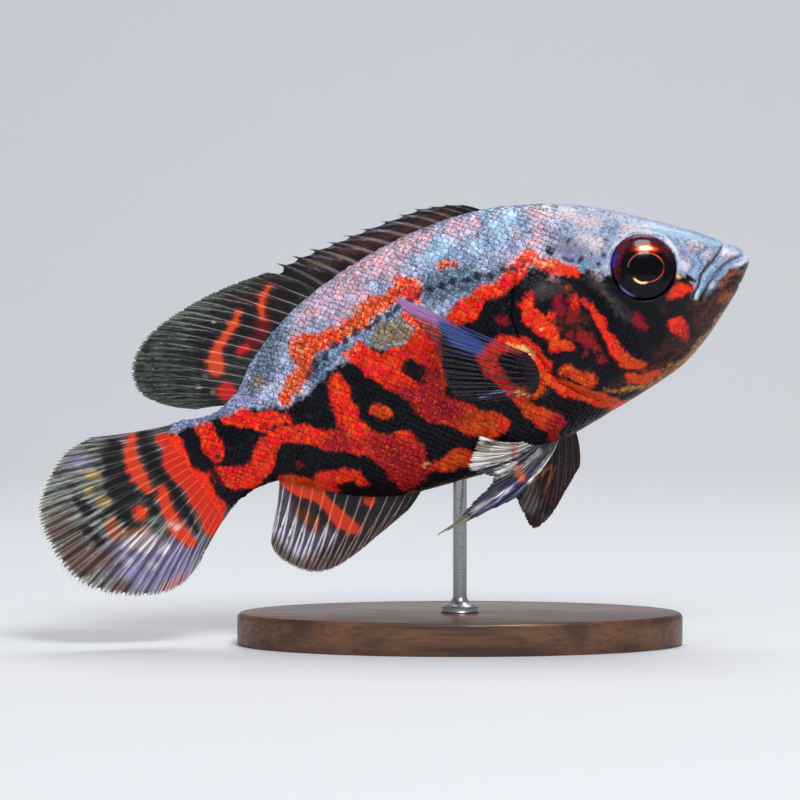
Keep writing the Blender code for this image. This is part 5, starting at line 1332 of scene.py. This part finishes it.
# The breast fins. Clear fans of thin rays, rooted behind the gill covers, one on each side. They leave
# the flank squarely and lie back along it, with a violet and blue streak on the leading rays.
PECTORAL_RAYS = [(50.9, -3.0, 74.1, 19.0, 17.5), (50.5, -4.2, 73.7, 16.0, 17.8),
                 (50.2, -5.4, 71.6, 11.4, 18.0), (50.1, -6.6, 70.0, 6.3, 18.2),
                 (50.2, -7.8, 69.8, 1.8, 18.0), (50.6, -9.0, 70.1, -2.2, 17.5),
                 (51.4, -10.0, 69.3, -5.7, 16.5), (52.4, -10.8, 64.5, -8.8, 15.0)]
BREAST_MARKS = {
    "fin_violet": [[(76.0, 19.0, 1.4), (70.0, 14.0, 1.6), (66.0, 10.0, 1.3)]],
    "fin_blue": [[(66.4, 9.4, 1.3), (64.0, 5.6, 2.2), (61.0, 2.4, 1.8)],
                 [(65.6, 12.4, 0.8), (61.0, 7.4, 1.1), (57.0, 3.0, 1.1)]],
    "fin_glint": [[(64.0, -7.6, 0.1), (60.0, -8.0, 0.25), (57.6, -9.0, 0.25)]],
    "fin_orange": [[(60.4, 0.8, 1.4), (57.0, 1.0, 1.4), (52.6, 0.0, 1.8)], [(59.6, -2.8, 1.2)]],
}


def paired_rays(rows, side, stand, lean):
    """Rays that leave the flank squarely, as far as stand, and lie back along it sooner with more lean.
    Each row is the root's s and w, the tip's s and w, and how far the tip is from the middle plane."""
    under = 0.5
    rays = []
    for root_s, root_w, tip_s, tip_w, out in rows:
        root, normal = on_skin(root_s, root_w, side, -under)
        tip = np.array([tip_s, tip_w, side * out])
        rays.append((root, root + normal * stand + (tip - root) * lean, tip))
    return rays


breast_web = fin_material("breast_web", rgb(40, 34, 48), [
    ("fin_orange", rgb(188, 60, 62), 0.9, 1.2, 0.8), ("fin_violet", rgb(180, 120, 186), 0.9, 1.0, 1.0),
    ("fin_blue", rgb(58, 82, 150), 1.0, 1.2, 1.0), ("fin_glint", rgb(160, 184, 224), 0.4, 0.9, 0.9)],
    web=0.8, glow=0.1, see_through=0.95, mottle=0.3, wet=0.05, glint_share=0.1)
for word, side in (("left", 1), ("right", -1)):
    rays = paired_rays(PECTORAL_RAYS, side, stand=4.6, lean=0.22)
    fan = fin_web(f"breast_fin_{word}", rays, count=12, rows=40, web=0.2, ray_height=0.24)
    add_fin(fan, breast_web, BREAST_MARKS, f"pectoral_fin_{word}")

# The belly fins. Two fans rooted side by side under the belly: the right one swept back along it, with
# white inner rays and a painted glint at its upper root, and the left one hanging, wine-brown with orange
# front rays and a silvery middle.
PELVIC_RIGHT = [(50.6, -22.4, 64.8, -30.9, 8.5), (51.4, -22.4, 82.4, -32.4, 9.5),
                (52.4, -22.4, 78.7, -31.2, 8.8), (53.4, -22.3, 74.0, -28.8, 8.0),
                (54.6, -22.2, 67.6, -25.4, 7.4), (55.8, -21.9, 71.6, -21.6, 7.6),
                (57.0, -21.4, 69.4, -18.2, 9.3), (58.2, -20.4, 67.0, -15.4, 10.4)]
PELVIC_LEFT = [(46.8, -21.4, 48.6, -30.3, 8.0), (48.6, -21.7, 53.3, -34.4, 9.8),
               (50.4, -22.0, 58.2, -38.5, 11.0), (52.2, -22.2, 62.6, -39.9, 11.2),
               (54.0, -22.3, 63.6, -35.8, 9.5), (55.6, -22.1, 64.0, -31.2, 7.5)]
SWEPT_MARKS = {
    # The broad white patch at the upper root is a painted glint; the thin white lines are rays.
    "fin_white": [[(58.0, -20.6, 1.2), (64.0, -20.6, 2.2), (71.0, -19.8, 1.8)],
                  [(60.0, -17.8, 0.8), (67.0, -16.2, 0.8)],
                  [(52.0, -24.0, 0.3), (60.0, -28.6, 0.3)], [(64.0, -28.4, 0.15), (74.0, -30.2, 0.2)],
                  [(62.0, -24.2, 0.6), (66.0, -24.6, 0.6)], [(56.0, -23.4, 0.4), (62.0, -26.0, 0.2)]],
    "fin_orange": [[(61.5, -25.0, 0.7), (61.5, -27.4, 0.9)], [(60.0, -19.6, 0.5), (61.0, -21.6, 0.5)]],
    "fin_olive": [[(76.0, -31.4, 1.0), (84.0, -32.6, 0.8)], [(66.0, -18.4, 0.7), (69.0, -17.8, 0.6)]],
    "fin_blue": [[(55.0, -25.6, 0.5), (62.0, -28.0, 0.9), (70.0, -29.6, 0.8), (75.0, -30.4, 0.3)]],
}
swept = fin_web("belly_fin_right", paired_rays(PELVIC_RIGHT, -1, stand=2.8, lean=0.4), count=12, rows=40,
                ray_height=0.36, tip_reach=0.05)
add_fin(swept, fin_material("swept_web", rgb(22, 28, 60), [
    ("fin_blue", rgb(34, 48, 138), 0.7, 1.2, 0.9),
    ("fin_white", rgb(255, 250, 242), 0.7, 1.6, 0.95), ("fin_olive", rgb(140, 134, 108), 0.5, 0.9, 0.9),
    ("fin_orange", rgb(232, 104, 56), 0.6, 1.6, 0.9)],
    web=0.4, glow=0.5, see_through=0.05, mottle=0.4), SWEPT_MARKS, "pelvic_fin_right")
HUNG_MARKS = {
    "fin_silver": [[(61.5, -34.5, 2.0), (60.0, -31.0, 1.2)], [(59.5, -38.4, 0.8)]],
    "fin_orange": [[(54.6, -28.0, 0.5), (60.5, -30.2, 0.4)], [(53.6, -28.5, 0.3), (58.0, -33.0, 0.3)]],
    "fin_navy": [[(52.0, -25.0, 1.8)], [(56.0, -31.0, 1.4)], [(59.0, -37.5, 2.0)], [(50.0, -28.0, 1.4)]],
}
hung = fin_web("belly_fin_left", paired_rays(PELVIC_LEFT, 1, stand=3.6, lean=0.3), count=8, rows=40,
               ray_height=0.36, tip_reach=0.02)
add_fin(hung, fin_material("hung_web", rgb(72, 22, 30), [
    ("fin_navy", rgb(20, 16, 34), 0.9, 1.6, 0.9), ("fin_silver", rgb(132, 120, 118), 1.0, 1.6, 0.85),
    ("fin_orange", rgb(210, 108, 56), 0.4, 0.8, 0.85)],
    web=0.35, glow=0.16, see_through=0.08), HUNG_MARKS, "pelvic_fin_left")

# The stand: a low oval plinth of oiled walnut with a soft top edge, and a turned steel post that
# screws into it through a collar and holds the fish under the belly.
BASE_LENGTH, BASE_WIDTH, BASE_HEIGHT = 96.0, 50.0, 7.0
FOOT_BEVEL, EDGE_R = 0.6, 1.2
ROD_R, COLLAR_R, COLLAR_HEIGHT, POST_TOP = 1.5, 4.0, 2.4, 37.0
TURN_SIDES = 128


def turned(name, profile, width=1.0):
    """A closed turned shape, upright on the origin, from (radius, height) in millimetres, made oval
    where its width is not 1."""
    profile = np.array(profile, float)
    turn = np.arange(TURN_SIDES) * 2 * math.pi / TURN_SIDES
    r, h = profile[:, 0][:, None], profile[:, 1][:, None]
    points = np.stack([r * np.cos(turn), r * np.sin(turn) * width, h + 0 * turn], -1).reshape(-1, 3)
    points = np.vstack([points, [(0, 0, profile[0, 1]), (0, 0, profile[-1, 1])]]) * MM
    faces = grid_faces(len(profile), TURN_SIDES, True)[:, ::-1].tolist()
    last, foot = (len(profile) - 1) * TURN_SIDES, len(profile) * TURN_SIDES
    for a in range(TURN_SIDES):
        b = (a + 1) % TURN_SIDES
        faces += [(foot, b, a), (foot + 1, last + a, last + b)]
    mesh = bpy.data.meshes.new(name)
    mesh.from_pydata(points.tolist(), [], faces)
    mesh.shade_smooth()
    mesh.set_sharp_from_angle(angle=math.radians(40))
    obj = bpy.data.objects.new(name, mesh)
    bpy.context.scene.collection.objects.link(obj)
    return obj


def walnut_material():
    material, paint = new_material("oiled_walnut")
    figure = paint.noise(5.0, 4.0, (0.12, 1.0, 1.0))
    fibre = paint.noise(0.7, 3.0, (0.06, 1.0, 1.0))
    colour = paint.mix(paint.step(figure, 0.35, 0.65), rgb(66, 40, 26), rgb(112, 72, 46))
    colour = paint.mix(paint.step(fibre, 0.45, 0.75, 0.0, 0.6), colour, rgb(44, 26, 17))
    paint.shader(colour, paint.step(fibre, 0.3, 0.7, 0.34, 0.5), paint.bumped(fibre, 0.1, 0.4),
                 Coat_Weight=0.15)
    return material


def steel_material():
    material, paint = new_material("brushed_steel")
    lines = paint.noise(0.5, 3.0, (0.3, 0.3, 3.0))
    colour = paint.mix(lines, rgb(150, 151, 153), rgb(196, 197, 200))
    paint.shader(colour, paint.step(lines, 0.3, 0.7, 0.24, 0.4), paint.bumped(lines, 0.03, 0.4),
                 Metallic=1.0)
    return material


edge_turn = np.radians(np.arange(0, 91, 15))
base_r = BASE_LENGTH / 2
plinth_profile = [(base_r - FOOT_BEVEL, 0.0), (base_r, FOOT_BEVEL)]
plinth_profile += [(base_r - EDGE_R + EDGE_R * math.cos(a), BASE_HEIGHT - EDGE_R + EDGE_R * math.sin(a))
                   for a in edge_turn]
plinth = turned("plinth", plinth_profile, BASE_WIDTH / BASE_LENGTH)
dress(plinth, walnut_material(), "base", "stand_base")
foot = BASE_HEIGHT - 0.05
post_profile = [(COLLAR_R, foot), (COLLAR_R + 0.15, foot + 0.3), (COLLAR_R, foot + 0.6),
                (COLLAR_R, foot + 1.3), (COLLAR_R - 0.4, foot + 1.7), (ROD_R + 1.0, foot + 2.0),
                (ROD_R + 0.5, foot + COLLAR_HEIGHT), (ROD_R + 0.1, foot + 3.0), (ROD_R, foot + 3.6),
                (ROD_R, POST_TOP), (ROD_R - 0.3, POST_TOP + 0.3)]
dress(turned("post", post_profile), steel_material(), "rod", "stand_rod")

# The studio: a pale sweep that curves up behind the model, a large soft lamp above the camera's
# left, a fill and a rim lamp, and the camera square to the fish's right side.
CAMERA_AWAY, FRAME_WIDTH = 0.8, 0.172
CAMERA_RISE = math.radians(2.5)
LOOK_AT = Vector((-0.0129, 0.0, 0.0527))
SWEEP_HALF, SWEEP_FRONT, SWEEP_BACK, SWEEP_CURVE, SWEEP_TOP = 2.5, -1.6, 0.55, 0.5, 2.2


def build_sweep():
    profile = [(SWEEP_FRONT, 0.0), (SWEEP_BACK, 0.0)]
    for a in np.radians(np.arange(6, 91, 6)):
        profile.append((SWEEP_BACK + SWEEP_CURVE * math.sin(a), SWEEP_CURVE - SWEEP_CURVE * math.cos(a)))
    profile.append((SWEEP_BACK + SWEEP_CURVE, SWEEP_TOP))
    points = [(x, y, z) for x in (-SWEEP_HALF, SWEEP_HALF) for y, z in profile]
    count = len(profile)
    faces = [(i, i + 1, count + i + 1, count + i) for i in range(count - 1)]
    mesh = bpy.data.meshes.new("sweep")
    mesh.from_pydata(points, [], [f[::-1] for f in faces])
    mesh.shade_smooth()
    obj = bpy.data.objects.new("sweep", mesh)
    bpy.context.scene.collection.objects.link(obj)
    material, paint = new_material("sweep_paper")
    paint.shader(rgb(216, 218, 222), 0.9)
    mesh.materials.append(material)
    return obj


def add_lamp(name, place, target, size, watts, mirrored=True):
    """A square soft lamp at place, aimed at target. mirrored says whether shiny pieces mirror it."""
    lamp = bpy.data.lights.new(name, "AREA")
    lamp.size, lamp.energy = size, watts
    obj = bpy.data.objects.new(name, lamp)
    obj.visible_glossy = mirrored
    obj.location = place
    obj.rotation_euler = (Vector(target) - Vector(place)).to_track_quat("-Z", "Y").to_euler()
    bpy.context.scene.collection.objects.link(obj)


build_sweep()
add_lamp("key", (0.22, -0.85, 0.95), (0, 0, 0.05), size=0.4, watts=9.5)
add_lamp("fill", (-0.9, -0.9, 0.4), (0, 0, 0.05), size=0.5, watts=3.0, mirrored=False)
add_lamp("top", (0.1, 0.3, 0.9), (0, 0, 0.06), size=0.5, watts=4.5)
world = bpy.data.worlds.new("studio")
world.use_nodes = True
world.node_tree.nodes["Background"].inputs["Color"].default_value = (0.9, 0.93, 1.0, 1.0)
world.node_tree.nodes["Background"].inputs["Strength"].default_value = 0.3
bpy.context.scene.world = world
bpy.context.scene.view_settings.view_transform = "Standard"
lens = bpy.data.cameras.new("camera")
lens.sensor_width, lens.lens = 36.0, 36.0 * CAMERA_AWAY / FRAME_WIDTH
camera = bpy.data.objects.new("camera", lens)
camera.location = LOOK_AT + Vector((0, -math.cos(CAMERA_RISE), math.sin(CAMERA_RISE))) * CAMERA_AWAY
camera.rotation_euler = (LOOK_AT - camera.location).to_track_quat("-Z", "Y").to_euler()
bpy.context.scene.collection.objects.link(camera)
bpy.context.scene.camera = camera

bpy.context.view_layer.update()
